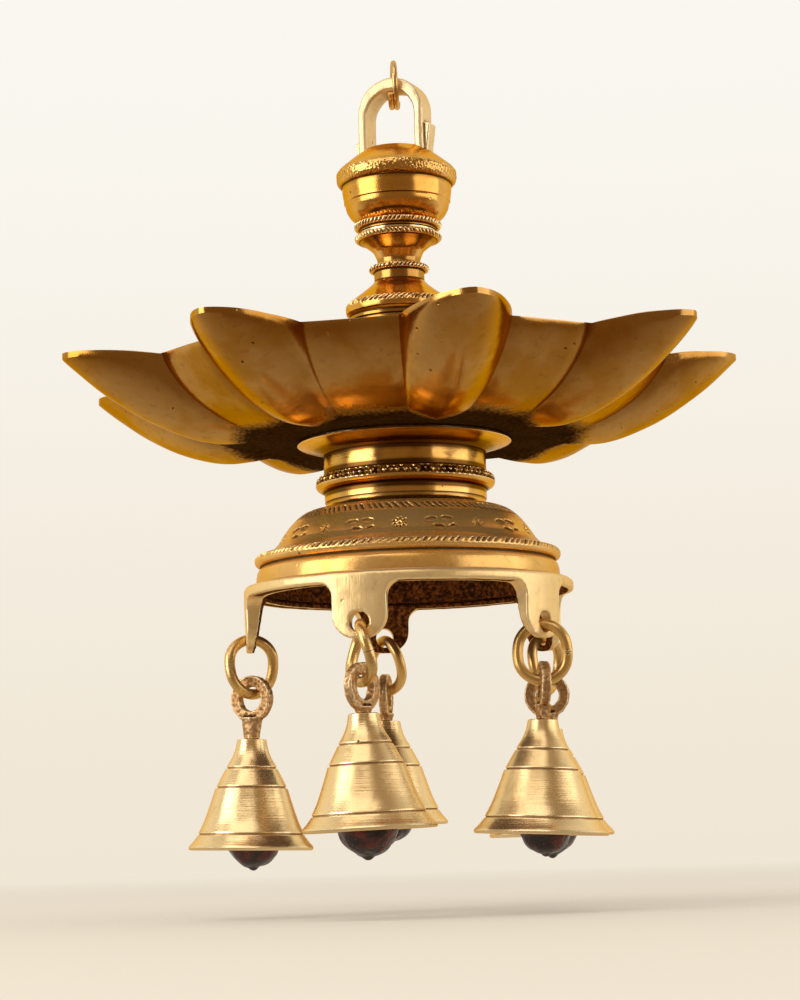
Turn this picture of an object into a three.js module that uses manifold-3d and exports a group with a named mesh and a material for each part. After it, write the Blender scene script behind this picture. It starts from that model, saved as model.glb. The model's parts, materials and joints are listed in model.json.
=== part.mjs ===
// Hanging oil lamp of cast brass: a bowl with nine spouts on a turned column, carried by a loop and a
// wire ring, and below it a turned foot with five lugs, from which small bells hang on bent links.
// Millimetres, +Z up. The origin is the inside top of the wire ring, where a hook or chain takes it.
// An azimuth is in degrees from the front (-Y), growing towards the right (+X).

import * as THREE from "three";
import { mergeVertices } from "three/addons/utils/BufferGeometryUtils.js";
import Module from "manifold-3d";

const wasm = await Module();
wasm.setup();

// Fits and facets
const gap = 0.3;
const turnedFacets = 28;
const bellFacets = 18;
const rodFacets = 12;
const wireFacets = 6;
const ringSteps = 34;
const linkSteps = 22;
const fullTurn = 360;

// How far a lathe tool rounds an edge, a milled ring's crest, and the corner under it
const edgeRound = 0.2;
const crestRound = 0.3;
const ringUndercut = 0.15;

// Wire ring at the top, its ends lapped side by side. Where the loop's corners rest on it, the lapped
// strands reach only a share as far to the sides as at its foot.
const ringWire = 1.9;
const ringInnerHeight = 12.45;
const ringSideRoom = 0.66;
const ringLapTurns = 0.3;
const seatShare = 0.67;

// Cast loop on the knob, its face turned to the left by the yaw
const loopYaw = 25;
const loopDepth = 8.6;
const loopInnerWidth = 17;
const loopInnerHeight = 19.7;
const loopLegThickness = 3;
const loopCrownThickness = 4.2;
const loopChamfer = 0.7;
const loopSpurReach = 2.1;
const leftSpurHeight = 4.6;
const rightSpurHeight = 8.2;
const loopSpurDepth = 5;
const tenonRadius = 1.9;
const tenonLength = 6;

// Knob under the loop, with the upper milled ring
const knobTopRadius = 10.5;
const knobShoulderRadius = 18.4;
const knobDomeHeight = 6.2;
const knobBandRadius = 19.6;
const knobBandHeight = 5.4;
const knobWallRadius = 17.9;
const knobWallHeight = 6;
const knobCupRadius = 12.9;
const knobCupHeight = 6.5;
const milledRingRadius = 14.1;
const milledRingHeight = 1.9;
const collarRadius = 12.5;
const collarHeight = 0.9;

// Stem between the knob and the floor of the bowl
const stemConeHeight = 3;
const stemNeckTopRadius = 8.4;
const stemNeckRadius = 6.9;
const stemNeckHeight = 5.4;
const smallRingRadius = 9.8;
const smallRingHeight = 1.8;
const lowerNeckRadius = 8.1;
const lowerNeckHeight = 3.2;
const bellMouldHeight = 8;
const stemFlangeRadius = 17.6;
const stemFlangeHeight = 3.6;
const stemDrumRadius = 16.3;
const stemDrumHeight = 3.4;
const pedestalRadius = 25;
const pedestalHeight = 34.2;

// Threaded tie rod, nut and washer
const rodRadius = 4;
const rodInKnob = 15;
const rodBelowNut = 3;
const washerRadius = 9;
const washerThickness = 1.6;
const nutAcrossFlats = 13;
const nutHeight = 6.5;

// Oil bowl and its spouts
const bowlDepth = 24.5;
const bowlWall = 2.6;
const bowlFloorRadius = 50;
const notchRadius = 85.5;
const notchDrop = 2.5;
const wallSweep = 1.9;
const wallRoundness = 0.72;
const spoutRootRadius = 43;
const spoutRootHalfWidth = 6.3;
const spoutReach = 110.7;
const tipRise = 2;
const spoutHalfWidth = 16.8;
const spoutOutline = 1.6;
const spoutSection = 1.5;
const keelDepth = 26.9;
const keelLowRadius = 60;
const keelRise = 1.75;
const noseHeight = 2;
const rimLip = 0.6;
const spoutColumns = [-1, -0.6, -0.25, 0, 0.25, 0.6, 1];
const panelColumns = [1 / 3, 2 / 3];
const outerRows = [0, 0.22, 0.42, 0.6, 0.76, 0.9, 1];
const innerRows = [1, 0.82, 0.6, 0.35, 0];

// The nine spouts as they were cast: each with its azimuth, and as shares of the nominal values the reach
// of its tip from the axis, and how far its tip stands over the plane of the lamp's nominal tips
const spouts = [
  { at: 11, reach: 1, rise: 0.8 },
  { at: 53, reach: 0.989, rise: 1 },
  { at: 94, reach: 0.9865, rise: 1 },
  { at: 133.5, reach: 1, rise: 0.3 },
  { at: 174, reach: 1, rise: 0 },
  { at: 214, reach: 1, rise: 0 },
  { at: 248, reach: 1, rise: -0.5 },
  { at: 289, reach: 1, rise: 0.2 },
  { at: 328.8, reach: 0.9937, rise: 0.6 },
];

// Drum under the bowl
const drumFlangeRadius = 34.3;
const drumFlangeThickness = 1;
const drumConeHeight = 3;
const drumRadius = 26;
const drumUpperHeight = 6.9;
const drumRingRadius = 28.7;
const drumRingHeight = 5.2;
const drumLowerHeight = 5.5;
const drumWall = 3.2;
const drumWeb = 3.5;

// Foot, open below
const footTopRadius = 26.4;
const footShoulderRadius = 33;
const footShoulderDrop = 1.3;
const footBandRadius = 41;
const footBandHeight = 9.2;
const footBeadRadius = 48.7;
const footFlareHeight = 4.4;
const footBeadHeight = 2.8;
const footRimRadius = 48.3;
const footRimHeight = 5.9;
const footWall = 3;
const footSpigot = 2;

// Crown with the five lugs
const crownWall = 3.8;
const crownHeight = 3.7;
const crownLedge = 1.7;
const lugWidth = 17.5;
const lugDrop = 17.1;
const lugTrim = 2.7;
const lugCornerRadius = 7.4;
const lugFillet = 4.2;
const lugTopThickness = 5.8;
const lugTipThickness = 2.4;
const lugLean = 0.4;
const lugHoleRadius = 3.2;
const lugHoleAboveTip = 5;

// Bent wire links
const linkWire = 3.4;
const linkHeight = 20.6;
const linkWidth = 18.7;
const linkSeat = 0.75;

// Bell eyes, bells and clappers
const eyeOuterRadius = 7.4;
const eyeHoleRadius = 3.9;
const eyeThickness = 2.9;
const eyeNeck = 5;
const eyeStemRadius = 2.7;
const tangRadius = 1.6;
const tangCollarRadius = 3;
const tangCollarHeight = 1.2;
const tangLength = 3;
const hookEyeRadius = 3;
const hookEyeHole = 1.4;
const hookEyeThickness = 1.2;
const bellHeight = 34.6;
const bellCrownRadius = 4.7;
const bellWaistRadius = 11.2;
const bellLipRadius = 17.2;
const bellMouthRadius = 20.5;
const bellWall = 1.5;
const bellCrownThickness = 2.4;
const ballRadius = 10;
const ballShow = 10;
const clapperWire = 1.5;
const clapperLoopRadius = 2.4;
const clapperLoopSeat = 0.5;
const clapperNub = 1.5;

// One row for each hanging bell: where its lug stands and whether it was trimmed, how the top and the
// foot of the link have turned and how the eye has, and the lean of the bell to the left, in degrees. The
// rest are shares of the named sizes: the length of the eye's neck, the radius of the bell's mouth, the
// radius of its clapper's ball and how far that shows below the mouth
const chains = [
  { lug: -17, short: 0, top: -1, foot: 38, eye: -37, lean: -1.6,
    neck: 0.1, mouth: 0.985, ball: 0.98, show: 1 },
  { lug: 53, short: 0, top: 69, foot: 88, eye: 6, lean: 2.8,
    neck: 0.62, mouth: 1, ball: 0.85, show: 0.79 },
  { lug: 119, short: 0, top: 134, foot: 156, eye: 84, lean: 0,
    neck: 0.72, mouth: 0.985, ball: 0.91, show: 0.8 },
  { lug: 190, short: 1, top: 205, foot: 242, eye: -9, lean: 0,
    neck: 0.22, mouth: 0.956, ball: 0.88, show: 0.8 },
  { lug: 273, short: 0, top: 289, foot: 313, eye: 60, lean: 1.6,
    neck: 1.06, mouth: 0.951, ball: 0.87, show: 0.75 },
];

const brass = { color: 0xb8862f, roughness: 0.32, metalness: 1 };
const paleBrass = { color: 0xd2b06a, roughness: 0.45, metalness: 1 };
const darkBrass = { color: 0x8a5f24, roughness: 0.5, metalness: 1 };
const steel = { color: 0x77726a, roughness: 0.5, metalness: 1 };
const lac = { color: 0x3a1512, roughness: 0.3, metalness: 0 };

const radians = THREE.MathUtils.degToRad;
const lerp = THREE.MathUtils.lerp;

function towards(azimuth) {
  return new THREE.Vector3(Math.sin(radians(azimuth)), -Math.cos(radians(azimuth)), 0);
}

// A closed solid from a three.js geometry: its shared vertices are merged, its slivers at the axis
// dropped and its faces turned outwards.
function solidOf(geometry) {
  const bare = new THREE.BufferGeometry();
  bare.setAttribute("position", geometry.getAttribute("position"));
  bare.setIndex(geometry.getIndex());
  const welded = mergeVertices(bare, 1e-4);
  const points = welded.getAttribute("position");
  const corners = welded.getIndex().array;
  const [a, b, c] = [new THREE.Vector3(), new THREE.Vector3(), new THREE.Vector3()];
  const triangles = [];
  let volume = 0;
  for (let i = 0; i < corners.length; i += 3) {
    const [p, q, r] = [corners[i], corners[i + 1], corners[i + 2]];
    if (p === q || q === r || r === p) continue;
    triangles.push([p, q, r]);
    a.fromBufferAttribute(points, p);
    b.fromBufferAttribute(points, q);
    c.fromBufferAttribute(points, r);
    volume += a.dot(b.cross(c));
  }
  const outwards = volume > 0 ? triangles : triangles.map(([p, q, r]) => [p, r, q]);
  return new wasm.Manifold(new wasm.Mesh({
    numProp: 3,
    vertProperties: Float32Array.from(points.array),
    triVerts: Uint32Array.from(outwards.flat()),
  }));
}

function piece(name, solid, finish) {
  const { vertProperties, triVerts } = solid.getMesh();
  const geometry = new THREE.BufferGeometry();
  geometry.setAttribute("position", new THREE.BufferAttribute(vertProperties, 3));
  geometry.setIndex(new THREE.BufferAttribute(triVerts, 1));
  geometry.computeVertexNormals();
  const mesh = new THREE.Mesh(geometry, new THREE.MeshStandardMaterial(finish));
  mesh.name = name;
  return mesh;
}

// A turned solid: the profile is a list of [radius, height], and closes on itself when it is bored.
function turned(profile, facets = turnedFacets) {
  const bored = profile[0][0] > 0;
  const outline = bored ? [...profile, profile[0]] : profile;
  const lathe = new THREE.LatheGeometry(outline.map(([r, z]) => new THREE.Vector2(r, z)), facets);
  return solidOf(lathe.rotateX(Math.PI / 2));
}

function rod(radius, top, bottom, facets = rodFacets) {
  return turned([[0, bottom], [radius, bottom], [radius, top], [0, top]], facets);
}

// A round bar with its axis along X, centred on the origin.
function crossBar(radius, length, facets = rodFacets) {
  return solidOf(new THREE.CylinderGeometry(radius, radius, length, facets).rotateZ(Math.PI / 2));
}

// A flat shape drawn in the XZ plane and extruded evenly to both sides of it, with chamfered edges.
function plate(shape, thickness, chamfer = 0, curveSegments = 6) {
  const geometry = new THREE.ExtrudeGeometry(shape, {
    depth: thickness - 2 * chamfer,
    curveSegments,
    bevelEnabled: chamfer > 0,
    bevelThickness: chamfer,
    bevelSize: chamfer,
    bevelOffset: -chamfer,
    bevelSegments: 1,
  });
  geometry.translate(0, 0, chamfer - thickness / 2);
  return solidOf(geometry.rotateX(Math.PI / 2));
}

function bentWire(path, diameter, steps) {
  const section = new THREE.Shape(Array.from({ length: wireFacets }, (_, i) => {
    const angle = (2 * Math.PI * i) / wireFacets;
    return new THREE.Vector2(Math.cos(angle), Math.sin(angle)).multiplyScalar(diameter / 2);
  }));
  return solidOf(new THREE.ExtrudeGeometry(section, { steps, bevelEnabled: false, extrudePath: path }));
}

// An upright oval of two half circles joined by straight sides. Its place is given in turns from the
// foot of the oval; a point is [across, up], with up measured from the middle of the oval.
function ovalPoint(turns, halfWidth, height) {
  const straight = Math.max(height - 2 * halfWidth, 0);
  const halfCircle = Math.PI * halfWidth;
  const along = (turns - Math.floor(turns)) * 2 * (halfCircle + straight);
  const lower = along < halfCircle / 2 || along > 1.5 * halfCircle + 2 * straight;
  if (lower || (along > halfCircle / 2 + straight && along < 1.5 * halfCircle + straight)) {
    const turned = lower ? 0 : straight;
    const wrapped = along > 1.5 * halfCircle + 2 * straight ? 2 * straight : turned;
    const angle = (along - wrapped) / halfWidth;
    const side = lower ? -straight / 2 : straight / 2;
    return [halfWidth * Math.sin(angle), side - halfWidth * Math.cos(angle)];
  }
  if (along < 1.5 * halfCircle) return [halfWidth, along - halfCircle / 2 - straight / 2];
  return [-halfWidth, 1.5 * halfCircle + 1.5 * straight - along];
}

class OvalPath extends THREE.Curve {
  constructor(halfWidth, height, start, end, place) {
    super();
    Object.assign(this, { halfWidth, height, start, end, place });
  }

  getPoint(t, target = new THREE.Vector3()) {
    const [across, up] = ovalPoint(lerp(this.start, this.end, t), this.halfWidth, this.height);
    return target.copy(this.place(across, up, t));
  }
}

// Heights, from the ring downwards
const strandReach = ringWire + gap / 2;
const seatReach = seatShare * strandReach;
const loopReach = loopDepth / 2 / Math.cos(radians(loopYaw)) + seatReach * Math.tan(radians(loopYaw));
const ringInnerHalf = loopReach + ringSideRoom;
const loopSeatRise = ringInnerHalf - Math.sqrt((ringInnerHalf - gap) ** 2 - loopReach ** 2);
const loopArchRadius = loopInnerWidth / 2;
const loopArchSag = loopArchRadius - Math.sqrt(loopArchRadius ** 2 - strandReach ** 2);
const loopUnderside = -ringInnerHeight + loopSeatRise - loopChamfer + loopArchSag;
const knobTop = loopUnderside - loopInnerHeight;
const knobRingTop = knobTop - knobDomeHeight - knobBandHeight - knobWallHeight - knobCupHeight;
const knobBottom = knobRingTop - milledRingHeight - collarHeight;
const stemTop = knobBottom - gap;
const stemRingTop = stemTop - collarHeight;
const neckTop = stemRingTop - milledRingHeight - stemConeHeight;
const smallRingTop = neckTop - stemNeckHeight;
const flangeTop = smallRingTop - smallRingHeight - lowerNeckHeight - bellMouldHeight;
const pedestalTop = flangeTop - stemFlangeHeight - stemDrumHeight;
const stemBottom = pedestalTop - pedestalHeight;
const bowlFloor = stemBottom - gap;
const bowlUnderside = bowlFloor - bowlWall;
const tipPlane = bowlUnderside + bowlDepth;
const drumTop = bowlUnderside - gap;
const drumRingTop = drumTop - drumFlangeThickness - drumConeHeight - drumUpperHeight;
const drumBottom = drumRingTop - drumRingHeight - drumLowerHeight;
const footTop = drumBottom - gap;
const footBandTop = footTop - footShoulderDrop;
const footBeadTop = footBandTop - footBandHeight - footFlareHeight;
const footRimTop = footBeadTop - footBeadHeight;
const footWebBottom = footTop - footWall;
const crownTop = footRimTop - footRimHeight - gap;
const footBottom = crownTop - footSpigot;
const crownBottom = crownTop - crownHeight;
const crownSeat = footRimRadius + gap;
const crownRadius = crownSeat + crownWall;
const crownLedgeRadius = footRimRadius - footWall + gap;
const rodBore = rodRadius + gap;
const rodTop = knobBottom + rodInKnob;
const washerTop = footWebBottom - gap;
const nutTop = washerTop - washerThickness - gap;
const rodBottom = nutTop - nutHeight - rodBelowNut;

function suspensionRing() {
  const halfWidth = ringInnerHalf + ringWire / 2;
  const start = -ringLapTurns / 2;
  const lapped = (ringWire + gap) / 2;
  const place = (across, up, t) => new THREE.Vector3(
    lerp(lapped, -lapped, t),
    -across,
    up - (ringInnerHeight / 2),
  );
  const path = new OvalPath(halfWidth, ringInnerHeight + ringWire, start, 1 - start, place);
  return bentWire(path, ringWire, ringSteps);
}

function knobBlank() {
  const bandTop = knobTop - knobDomeHeight;
  const wallTop = bandTop - knobBandHeight;
  const cupTop = wallTop - knobWallHeight;
  const cupBottom = cupTop - knobCupHeight;
  return [
    [0, knobTop],
    [knobTopRadius, knobTop],
    [lerp(knobTopRadius, knobShoulderRadius, 0.5), knobTop - knobDomeHeight * 0.42],
    [knobShoulderRadius, bandTop],
    [knobBandRadius - edgeRound, bandTop - knobBandHeight * 0.22],
    [knobBandRadius, bandTop - knobBandHeight * 0.55],
    [knobBandRadius - 0.5, bandTop - knobBandHeight * 0.85],
    [knobWallRadius - edgeRound, wallTop],
    [knobWallRadius, wallTop - knobWallHeight * 0.35],
    [lerp(knobWallRadius, knobCupRadius, 0.16), cupTop],
    [lerp(knobWallRadius, knobCupRadius, 0.3), cupTop - knobCupHeight * 0.33],
    [lerp(knobWallRadius, knobCupRadius, 0.58), cupTop - knobCupHeight * 0.7],
    [knobCupRadius, cupBottom],
    ...milledRing(milledRingRadius, collarRadius, knobRingTop, milledRingHeight),
    [collarRadius, knobBottom],
    [0, knobBottom],
  ];
}

// The three corners of a turned ring, from its top to its bottom edge.
function milledRing(radius, rootRadius, top, height) {
  return [
    [radius - crestRound, top],
    [radius, top - height / 2],
    [radius - crestRound, top - height],
    [rootRadius, top - height - ringUndercut],
  ];
}

function tenons(radius, depth) {
  const across = loopArchRadius + loopLegThickness / 2;
  const yaw = radians(-loopYaw);
  return [-1, 1].map((side) => rod(radius, knobTop + tenonLength / 2, knobTop - depth)
    .translate([side * across * Math.cos(yaw), side * across * Math.sin(yaw), 0]));
}

function topKnob() {
  const boreTop = rodTop + gap;
  return tenons(tenonRadius + gap, tenonLength + gap)
    .reduce((knob, hole) => knob.subtract(hole), turned(knobBlank()))
    .subtract(rod(rodBore, boreTop, knobBottom - 1));
}

function hangingLoop() {
  const outer = loopArchRadius + loopLegThickness;
  const archTop = loopUnderside + loopCrownThickness;
  const legFoot = knobTop - knobDomeHeight;
  const outline = new THREE.Shape();
  outline.moveTo(outer, legFoot);
  outline.lineTo(outer, archTop - outer);
  outline.absarc(0, archTop - outer, outer, 0, Math.PI, false);
  outline.lineTo(-outer, legFoot);
  outline.lineTo(-loopArchRadius, legFoot);
  outline.lineTo(-loopArchRadius, loopUnderside - loopArchRadius);
  outline.absarc(0, loopUnderside - loopArchRadius, loopArchRadius, Math.PI, 0, true);
  outline.lineTo(loopArchRadius, legFoot);
  outline.closePath();
  const spurs = [[-1, leftSpurHeight], [1, rightSpurHeight]].map(([side, height]) => {
    const spur = new THREE.Shape([
      new THREE.Vector2(side * (outer - loopChamfer), legFoot),
      new THREE.Vector2(side * (outer + loopSpurReach * 0.3), legFoot),
      new THREE.Vector2(side * (outer + loopSpurReach), knobTop + height - 1),
      new THREE.Vector2(side * (outer - loopChamfer), knobTop + height),
    ]);
    return plate(spur, loopSpurDepth);
  });
  return spurs.reduce((loop, spur) => loop.add(spur), plate(outline, loopDepth, loopChamfer))
    .rotate([0, 0, -loopYaw])
    .subtract(turned(knobBlank()).translate([0, 0, gap]))
    .add(tenons(tenonRadius, tenonLength)[0])
    .add(tenons(tenonRadius, tenonLength)[1]);
}

function stem() {
  const mouldTop = flangeTop + bellMouldHeight;
  const flangeFoot = flangeTop - stemFlangeHeight;
  return turned([
    [rodBore, stemTop],
    [collarRadius, stemTop],
    [collarRadius, stemRingTop + ringUndercut],
    ...milledRing(milledRingRadius, collarRadius, stemRingTop, milledRingHeight),
    [stemNeckTopRadius, neckTop],
    [lerp(stemNeckTopRadius, stemNeckRadius, 0.6), neckTop - stemNeckHeight * 0.35],
    [stemNeckRadius, neckTop - stemNeckHeight * 0.75],
    [stemNeckRadius + edgeRound, smallRingTop + crestRound],
    ...milledRing(smallRingRadius, lowerNeckRadius, smallRingTop, smallRingHeight),
    [lowerNeckRadius, mouldTop],
    [lerp(lowerNeckRadius, stemFlangeRadius, 0.16), mouldTop - bellMouldHeight * 0.2],
    [lerp(lowerNeckRadius, stemFlangeRadius, 0.78), mouldTop - bellMouldHeight * 0.79],
    [stemFlangeRadius - 0.4, flangeTop],
    [stemFlangeRadius, flangeTop - stemFlangeHeight * 0.3],
    [stemFlangeRadius, flangeTop - stemFlangeHeight * 0.75],
    [stemDrumRadius, flangeFoot],
    [stemDrumRadius, pedestalTop],
    [lerp(stemDrumRadius, pedestalRadius, 0.15), pedestalTop - pedestalHeight * 0.25],
    [lerp(stemDrumRadius, pedestalRadius, 0.5), pedestalTop - pedestalHeight * 0.65],
    [pedestalRadius, stemBottom + pedestalHeight * 0.07],
    [pedestalRadius, stemBottom],
    [rodBore, stemBottom],
  ]);
}

// The bowl's wall as a curve from the middle of the floor to the rim, for a radius given in turns of
// the way out from the spout roots. A spout's keel dips below the floor and then climbs to its tip.
function wallHeight(radius, depth, floorRadius, rimRadius) {
  const out = THREE.MathUtils.clamp((radius - floorRadius) / (rimRadius - floorRadius), 0, 1);
  const climb = 1 - (1 - out ** wallSweep) ** wallRoundness;
  return -depth + (depth - notchDrop - rimLip) * climb;
}

function keelHeight(radius, depth, rootDepth, tipRadius) {
  if (radius < keelLowRadius) {
    const inwards = (keelLowRadius - radius) / (keelLowRadius - spoutRootRadius);
    return -depth + (depth - rootDepth) * inwards ** 2;
  }
  const out = (radius - keelLowRadius) / (tipRadius - keelLowRadius);
  return -depth + (depth - noseHeight) * out ** keelRise;
}

// A point of the bowl's skin, in the bowl's own frame with the nominal tips at height 0. A column lies
// on a spout, where turn runs from -1 to 1 across it, or on the panel between it and the spout beside it,
// where panel runs from 0 to 1. The row runs from 0 at the spout roots to 1 at the rim, and inset is 0
// outside and the wall inside.
function bowlPoint(column, row, inset) {
  const { spout, beside, away } = column;
  const rim = notchRadius - inset;
  const tip = spout.reach * spoutReach - 1.5 * inset;
  const creaseRadius = lerp(spoutRootRadius, rim, row);
  const halfWidth = lerp(spoutRootHalfWidth, spoutHalfWidth, row) - 0.75 * inset;
  const creaseAngle = THREE.MathUtils.radToDeg(Math.asin(halfWidth / creaseRadius));
  const wall = wallHeight(creaseRadius, bowlDepth - inset, bowlFloorRadius, rim);
  const lifted = (turn) => tipRise * lerp(spout.rise, beside.rise, Math.abs(turn / away)) * row ** 2;
  if (column.panel !== undefined) {
    const turn = lerp(creaseAngle, away - creaseAngle, column.panel);
    const chord = Math.cos(radians(away / 2 - creaseAngle)) / Math.cos(radians(turn - away / 2));
    const radius = creaseRadius * lerp(1, chord, row);
    return { azimuth: spout.at + turn, radius, height: wall + lifted(turn), lift: lifted(turn) };
  }
  const across = Math.abs(column.turn);
  const turn = column.turn * creaseAngle;
  const end = lerp(tip, rim, across ** spoutOutline);
  const keel = keelHeight(lerp(spoutRootRadius, tip, row), keelDepth - inset, bowlDepth - inset, tip);
  return {
    azimuth: spout.at + turn,
    radius: lerp(spoutRootRadius, end, row),
    height: lerp(keel, wall, across ** spoutSection) + lifted(turn),
    lift: lifted(turn),
  };
}

function oilBowl() {
  const columns = spouts.flatMap((spout, i) => {
    const next = spouts[(i + 1) % spouts.length];
    const last = spouts[(i + spouts.length - 1) % spouts.length];
    const ahead = (next.at - spout.at + fullTurn) % fullTurn;
    const behind = (spout.at - last.at + fullTurn) % fullTurn;
    return [
      ...spoutColumns.map((turn) => ({
        spout,
        turn,
        beside: turn < 0 ? last : next,
        away: turn < 0 ? behind : ahead,
      })),
      ...panelColumns.map((panel) => ({ spout, panel, beside: next, away: ahead })),
    ];
  });
  const rimPoint = (column, inset) => {
    const point = bowlPoint(column, 1, inset);
    const drop = column.panel === undefined ? notchDrop * column.turn ** 2 : notchDrop;
    return { ...point, height: point.lift - drop };
  };
  const rows = [
    ...outerRows.map((row) => (column) => bowlPoint(column, row, 0)),
    (column) => rimPoint(column, 0),
    (column) => rimPoint(column, bowlWall),
    ...innerRows.map((row) => (column) => bowlPoint(column, row, bowlWall)),
    (column) => ({ ...bowlPoint(column, 0, bowlWall), radius: rodBore }),
    (column) => ({ ...bowlPoint(column, 0, 0), radius: rodBore }),
    (column) => bowlPoint(column, 0, 0),
  ];
  const outline = rows.map((_, i) => new THREE.Vector2(1, i));
  const skin = new THREE.LatheGeometry(outline, columns.length);
  const points = skin.getAttribute("position");
  for (let i = 0; i < points.count; i += 1) {
    const column = columns[Math.floor(i / rows.length) % columns.length];
    const { azimuth, radius, height } = rows[i % rows.length](column);
    const place = towards(azimuth).multiplyScalar(radius);
    points.setXYZ(i, place.x, place.y, tipPlane + height);
  }
  return solidOf(skin);
}

function drum() {
  const coneTop = drumTop - drumFlangeThickness;
  const upperTop = coneTop - drumConeHeight;
  const lowerTop = drumRingTop - drumRingHeight;
  const inner = drumRadius - drumWall;
  return turned([
    [rodBore, drumTop],
    [drumFlangeRadius, drumTop],
    [drumFlangeRadius, coneTop],
    [lerp(drumFlangeRadius, drumRadius, 0.55), coneTop - drumConeHeight * 0.3],
    [lerp(drumFlangeRadius, drumRadius, 0.88), coneTop - drumConeHeight * 0.7],
    [drumRadius, upperTop],
    [drumRadius, drumRingTop],
    [lerp(drumRadius, drumRingRadius, 0.6), drumRingTop - drumRingHeight * 0.1],
    [drumRingRadius, drumRingTop - drumRingHeight * 0.38],
    [drumRingRadius, drumRingTop - drumRingHeight * 0.62],
    [lerp(drumRadius, drumRingRadius, 0.5), drumRingTop - drumRingHeight * 0.88],
    [drumRadius, lowerTop],
    [drumRadius - crestRound, drumBottom],
    [inner, drumBottom],
    [inner, drumTop - drumWeb],
    [rodBore, drumTop - drumWeb],
  ]);
}

function foot() {
  const flareTop = footBandTop - footBandHeight;
  return turned([
    [rodBore, footTop],
    [footTopRadius, footTop],
    [lerp(footTopRadius, footShoulderRadius, 0.55), footTop - footShoulderDrop * 0.4],
    [footShoulderRadius, footBandTop],
    [lerp(footShoulderRadius, footBandRadius, 0.5), footBandTop - footBandHeight * 0.38],
    [footBandRadius, flareTop],
    [lerp(footBandRadius, footBeadRadius, 0.55), flareTop - footFlareHeight * 0.62],
    [footBeadRadius - 0.8, footBeadTop],
    [footBeadRadius, footBeadTop - footBeadHeight * 0.4],
    [footBeadRadius - 0.1, footBeadTop - footBeadHeight * 0.7],
    [footRimRadius - 1.4, footRimTop],
    [footRimRadius - edgeRound, footRimTop - footRimHeight * 0.3],
    [footRimRadius, footRimTop - footRimHeight * 0.7],
    [footRimRadius - edgeRound, footBottom],
    [footRimRadius - footWall, footBottom],
    [footRimRadius - footWall, footRimTop],
    [footBandRadius - footWall, flareTop - footWall],
    [footShoulderRadius - footWall, footWebBottom],
    [rodBore, footWebBottom],
  ]);
}

// The lug as it is cut from the crown's skirt, drawn flat with its tip down and its root in the crown.
function lugOutline(drop) {
  const half = lugWidth / 2;
  const tip = crownBottom - drop;
  const root = crownBottom + crownLedge / 2;
  const shape = new THREE.Shape();
  shape.moveTo(-half - lugFillet, root);
  shape.lineTo(-half - lugFillet, crownBottom);
  shape.absarc(-half - lugFillet, crownBottom - lugFillet, lugFillet, Math.PI / 2, 0, true);
  shape.absarc(-half + lugCornerRadius, tip + lugCornerRadius, lugCornerRadius, Math.PI, 1.5 * Math.PI);
  shape.absarc(half - lugCornerRadius, tip + lugCornerRadius, lugCornerRadius, 1.5 * Math.PI, 2 * Math.PI);
  shape.absarc(half + lugFillet, crownBottom - lugFillet, lugFillet, Math.PI, Math.PI / 2, true);
  shape.lineTo(half + lugFillet, root);
  shape.closePath();
  return shape;
}

const lugLength = (chain) => lugDrop - chain.short * lugTrim;
const lugHoleZ = (chain) => crownBottom - lugLength(chain) + lugHoleAboveTip;

// The radius of the middle of a lug's wall at its hole, where the wall has tapered and leaned inwards
function lugMidRadius(chain) {
  const down = (lugLength(chain) - lugHoleAboveTip) / (lugDrop + 1);
  return crownRadius - lugLean * down - lerp(lugTopThickness, lugTipThickness, down) / 2;
}

function lugCrown() {
  const ledgeTop = footBottom - gap;
  const ring = turned([
    [crownSeat, crownTop],
    [crownRadius - 0.9, crownTop - 0.5],
    [crownRadius, crownTop - 1.3],
    [crownRadius, crownBottom],
    [crownLedgeRadius, crownBottom],
    [crownLedgeRadius, ledgeTop],
    [crownSeat, ledgeTop],
  ], 2 * turnedFacets);
  const tip = crownBottom - lugDrop;
  const skirt = turned([
    [crownRadius, crownBottom + crownLedge],
    [crownRadius, crownBottom],
    [crownRadius - lugLean, tip - 1],
    [crownRadius - lugLean - lugTipThickness, tip - 1],
    [crownRadius - lugTopThickness, crownBottom],
    [crownRadius - lugTopThickness, crownBottom + crownLedge / 2],
  ], 2 * turnedFacets);
  const lugs = chains.map((chain) => {
    const blank = plate(lugOutline(lugLength(chain)), 2 * lugTopThickness, 0, 4);
    const hole = crossBar(lugHoleRadius, 4 * lugTopThickness, 2 * wireFacets);
    return blank.rotate([0, 0, 90])
      .subtract(hole.translate([0, 0, lugHoleZ(chain)]))
      .translate([crownRadius - lugTopThickness / 2, 0, 0])
      .rotate([0, 0, chain.lug - 90]);
  });
  return lugs.reduce((all, lug) => all.add(lug.intersect(skirt)), ring);
}

const linkHalfWidth = (linkWidth - linkWire) / 2;
const linkPathHeight = linkHeight - linkWire;
const linkTopBelowHole = lugHoleRadius - linkWire / 2 - linkSeat;

// An oval link that was twisted as it was bent, so its foot faces another way than its top. Its ends
// meet half way up one side with a hairline gap. The top of its wire is at height 0.
function link(chain) {
  const place = (across, up) => {
    const height = up / linkPathHeight + 0.5;
    return towards(lerp(chain.foot, chain.top, height))
      .multiplyScalar(across)
      .setZ(up - linkPathHeight / 2);
  };
  const length = 2 * Math.PI * linkHalfWidth;
  const path = new OvalPath(linkHalfWidth, linkPathHeight, 0.25 + gap / length, 1.25 - gap / length, place);
  return bentWire(path, linkWire, linkSteps);
}

// The eye's own frame has its hanging point at the origin: the middle of the wire that it hangs on.
const eyeCentre = linkWire / 2 + linkSeat - eyeHoleRadius;
const eyeFoot = eyeCentre - eyeOuterRadius;
const crownHole = tangRadius + gap;

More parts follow.
